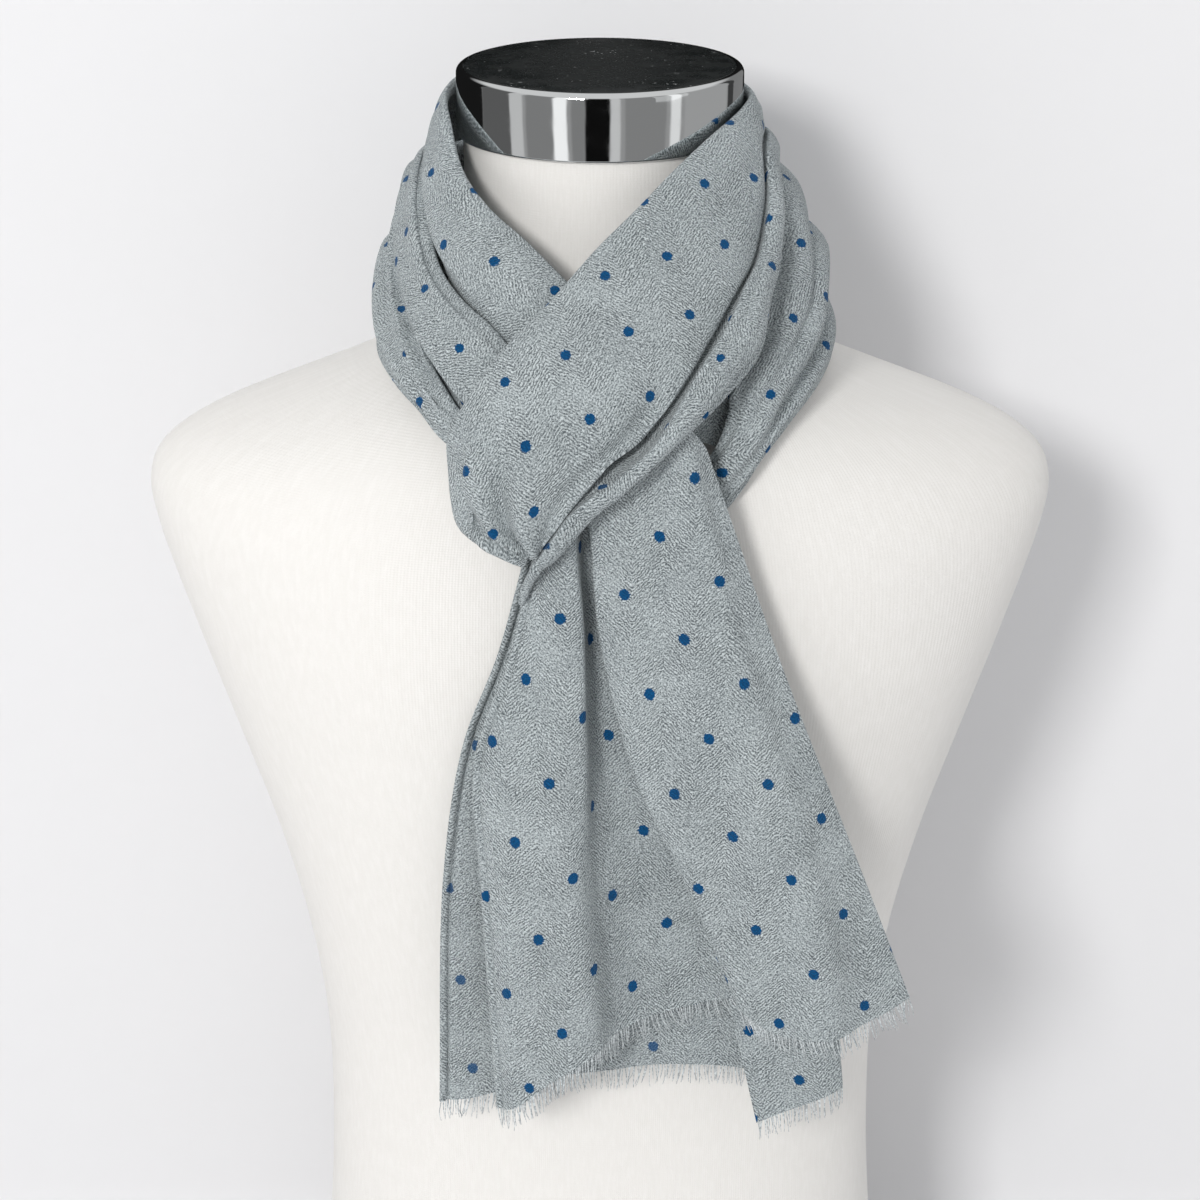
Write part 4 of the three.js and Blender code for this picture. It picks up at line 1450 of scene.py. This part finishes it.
def hanging_ends() -> list[HangingEnd]:
    """The front and rear ends below the knot."""
    return [
        HangingEnd(
            "scarf_front_end",
            "front_tail",
            table(
                FoldLine,
                (-25, 568, -41, -56, -54, -48, 278, -3, 7),
                (-22, 570, -36, -48, -46, -41, 280, 2, 8),
                (-17, 572, -23, -29, -28, -22, 298, 7.5, 9),
                (-12, 574, -8, -7, -8, -2, 312, 7, 10),
                (-11, 576, -6.5, -4.5, 0, 10, 317, -6, 11),
                (-9, 577, -3, 1.5, 20, 36, 323, -14, 11),
                (0, 579, 13, 24, 52, 76, 332, -9.6, 11),
                (2, 580, 15, 27, 55, 79, 333, -6.2, 11),
                (-2, 580, 8, 20, 48, 71, 333, -3, 10),
                (-6, 580, 2.5, 13.5, 41, 64, 333, 1.5, 9),
                (-2, 582, 8, 18, 46, 67, 331, 4.5, 8),
                (14, 594, 30, 43, 64, 79, 322, 5, 4),
                (36, 610, 64, 79, 97, 108, 320, 7.5),
                (41, 606, 70, 87, 108, 122, 324, 1),
                (46, 598, 80, 97, 122, 143, 334, -5),
            ),
            table(Depth, (-134, 0.6), (-139, 0.9), (-142, 1), (-143, 1.1), (-144, 1.2)),
            table(
                Crease,
                (0.02, 0.12, 0.5, 0.16, 5.0, 1.0),
                (0.3, 0.24, 0.95, 0.22, 6.0, -1.3),
                (0.05, 0.78, 0.45, 0.74, 6.0, 0.9),
                (0.35, 0.7, 0.98, 0.72, 5.0, -0.9),
                (0.1, 0.9, 0.9, 0.9, 5.0, -0.8),
            ),
            (
                Panel(6, 2, DotLattice(13.76, 11.87, -18.0, -0.1, 43.0, 49.5)),
                Panel(14, 11, DotLattice(12.04, 17.03, -8.0, 0.1, 43.0, 47.3)),
            ),
            (0.20, 0.268),
            False,
            1.3,
            11,
        ),
        HangingEnd(
            "scarf_rear_end",
            "rear_tail",
            table(
                FoldLine,
                (-29, 563, -45.5, -62, -72, -76, 270, 0.5),
                (-22, 567, -34, -49, -57, -60, 273, 2),
                (-10, 572, -16, -24, -28, -30, 280, -1),
                (4, 578, 4, 3, 2, 4, 285, -2),
                (16, 584, 24, 31, 36, 40, 289, -1),
                (28, 590, 46, 58, 70, 78, 286, 0.5),
                (38, 590, 64, 80, 98, 107, 282, 0.5),
                (41, 590, 68, 85, 104, 114, 280, 3),
                (37, 590, 62, 80, 97, 108, 277, 6),
                (32, 588, 46, 56, 72, 91, 270, 7),
                (28, 586, 30, 30, 46, 74, 262, 6),
            ),
            table(
                Depth,
                (-119.6, 0.55), (-122.5, 0.7), (-123, 0.8), (-122, 1),
                (-120, 1.2),
            ),
            table(
                Crease,
                (0.3, 0.12, 0.98, 0.16, 5.0, -0.9),
                (0.2, 0.5, 0.95, 0.48, 7.0, 0.9),
            ),
            (Panel(10, 1, DotLattice(8.0, 12.0, -6.0, 0.0, 43.0, 47.0)),),
            (0.19, 0.313),
            True,
            2.4,
            23,
        ),
    ]


# ---- the studio ----


class Lamp(NamedTuple):
    """A soft square lamp: where it stands, what it faces, its size, power and colour."""

    name: str
    at: Point
    facing: Point
    size: float
    power: float
    colour: Colour


class Reflection(NamedTuple):
    """A tall panel of the room that polished pieces mirror.

    Attributes:
        turn: Its middle, in degrees to the right of straight ahead of the object's front.
        half: Half its width, in degrees.
        light: Its brightness.
    """

    turn: float
    half: float
    light: float


@dataclass(frozen=True)
class Studio:
    """Pale sweep, soft lamps, the room's mirrored panels and the camera."""

    camera_at: Point = (0.0, -1.47015, 1.03777)
    camera_pitch: float = 20.847
    lens: float = 97.09
    sensor: float = 36.0
    wall_y: float = 0.17
    sweep_radius: float = 0.05
    half_width: float = 2.5
    front_y: float = -3.0
    wall_top: float = 2.6
    room_light: float = 0.6
    lamps: tuple[Lamp, ...] = (
        Lamp("key", (-1.2, -3.5, 2.1), (0.0, 0.0, 0.5), 0.75, 85.0, (1.0, 0.99, 0.98)),
        Lamp("fill", (1.9, -1.2, 1.0), (0.0, 0.0, 0.45), 1.2, 1.2, (0.98, 0.99, 1.0)),
    )
    panels: tuple[Reflection, ...] = table(
        Reflection,
        (-143.5, 36.5, 0.012), (-91.5, 15.5, 0.14), (-70, 6, 0.7), (-49.5, 11.5, 0.28),
        (-31.5, 5.5, 1.3), (-17.5, 5.0, 0.28), (-2, 10, 0.006), (12, 4, 0.75), (37, 17, 0.30),
        (62.5, 4.5, 1.0), (95.5, 24.5, 0.46), (127.5, 5.5, 0.06), (147, 14, 0.26),
        (170.5, 9.5, 0.012),
    )
    between: float = 0.4
    ends_light: float = 0.85
    room_colour: Colour = (0.985, 0.99, 1.0)
    panel_blur: float = 1.2
    ends_from: tuple[float, float] = (0.42, 0.6)

    def sweep(self) -> bpy.types.Object:
        """Floor and backdrop in one smooth sweep."""
        centre = (self.wall_y - self.sweep_radius, self.sweep_radius)
        profile = [(self.front_y, 0.0), *quarter(centre, self.sweep_radius, -90, 24)]
        profile.append((self.wall_y, self.wall_top))
        vertices = [(x, y, z) for x in (-self.half_width, self.half_width) for y, z in profile]
        count = len(profile)
        faces = [[k, k + count, k + 1 + count, k + 1] for k in range(count - 1)]
        sweep = add_object("studio_sweep", smooth_mesh("studio_sweep", vertices, faces))
        sweep.data.materials.append(StudioPaint().make())
        sweep.visible_glossy = False
        return sweep

    def light(self, lamp: Lamp) -> None:
        """Adds one lamp."""
        data = bpy.data.lights.new(lamp.name, "AREA")
        data.shape, data.size = "SQUARE", lamp.size
        data.energy, data.color = lamp.power, lamp.colour
        light = add_object(lamp.name, data)
        light.location = lamp.at
        aim = Vector(lamp.facing) - Vector(lamp.at)
        light.rotation_euler = aim.to_track_quat("-Z", "Y").to_euler()

    def room(self) -> None:
        """Even light from all round; polished pieces see tall light and dark panels in it."""
        g = Graph(bpy.data.worlds.new("room"), "ShaderNodeOutputWorld")
        x, y, z = g.split(g.place("Generated"))
        turn = g.math("MULTIPLY", g.math("ARCTAN2", x, g.math("MULTIPLY", y, -1.0)), 180 / math.pi)
        light: object = self.between
        for panel in self.panels:
            away = g.math("ABSOLUTE", g.math("SUBTRACT", turn, panel.turn))
            blurred = panel.half - self.panel_blur, panel.half + self.panel_blur
            light = g.between(g.span(away, *blurred, 1.0, 0.0), light, panel.light)
        steep = g.span(g.math("ABSOLUTE", z), *self.ends_from, shape="LINEAR")
        mirrored = g.between(steep, light, self.ends_light)
        even = g.named("ShaderNodeBackground", Color=self.room_colour, Strength=self.room_light)
        panels = g.named("ShaderNodeBackground", Strength=mirrored)
        glossy = g.node("ShaderNodeLightPath").outputs["Is Glossy Ray"]
        mixed = g.node("ShaderNodeMixShader", glossy, even, panels).outputs[0]
        bpy.context.scene.world = g.finish(mixed)

    def camera(self) -> None:
        """Adds the camera."""
        data = bpy.data.cameras.new("camera")
        data.lens, data.sensor_width = self.lens, self.sensor
        camera = add_object("camera", data)
        camera.location = self.camera_at
        camera.rotation_euler = (math.radians(90.0 - self.camera_pitch), 0.0, 0.0)
        bpy.context.scene.camera = camera

    def build(self) -> None:
        """Sets up the studio."""
        self.camera()
        self.sweep()
        for lamp in self.lamps:
            self.light(lamp)
        self.room()
        bpy.context.scene.view_settings.view_transform = "Standard"


# ---- the whole ----


def main() -> None:
    """Builds the studio, the form and the scarf."""
    logging.basicConfig(level=logging.INFO, format="%(name)s %(message)s")
    Studio().build()
    form = DressForm()
    form.build()
    wool, yarn = WoolFinish().make(), YarnFinish().make()
    for strand in NeckWrap().strands():
        strand.build(form, wool)
    for end in hanging_ends():
        end.build(form, wool, yarn)


if __name__ == "__main__":
    main()
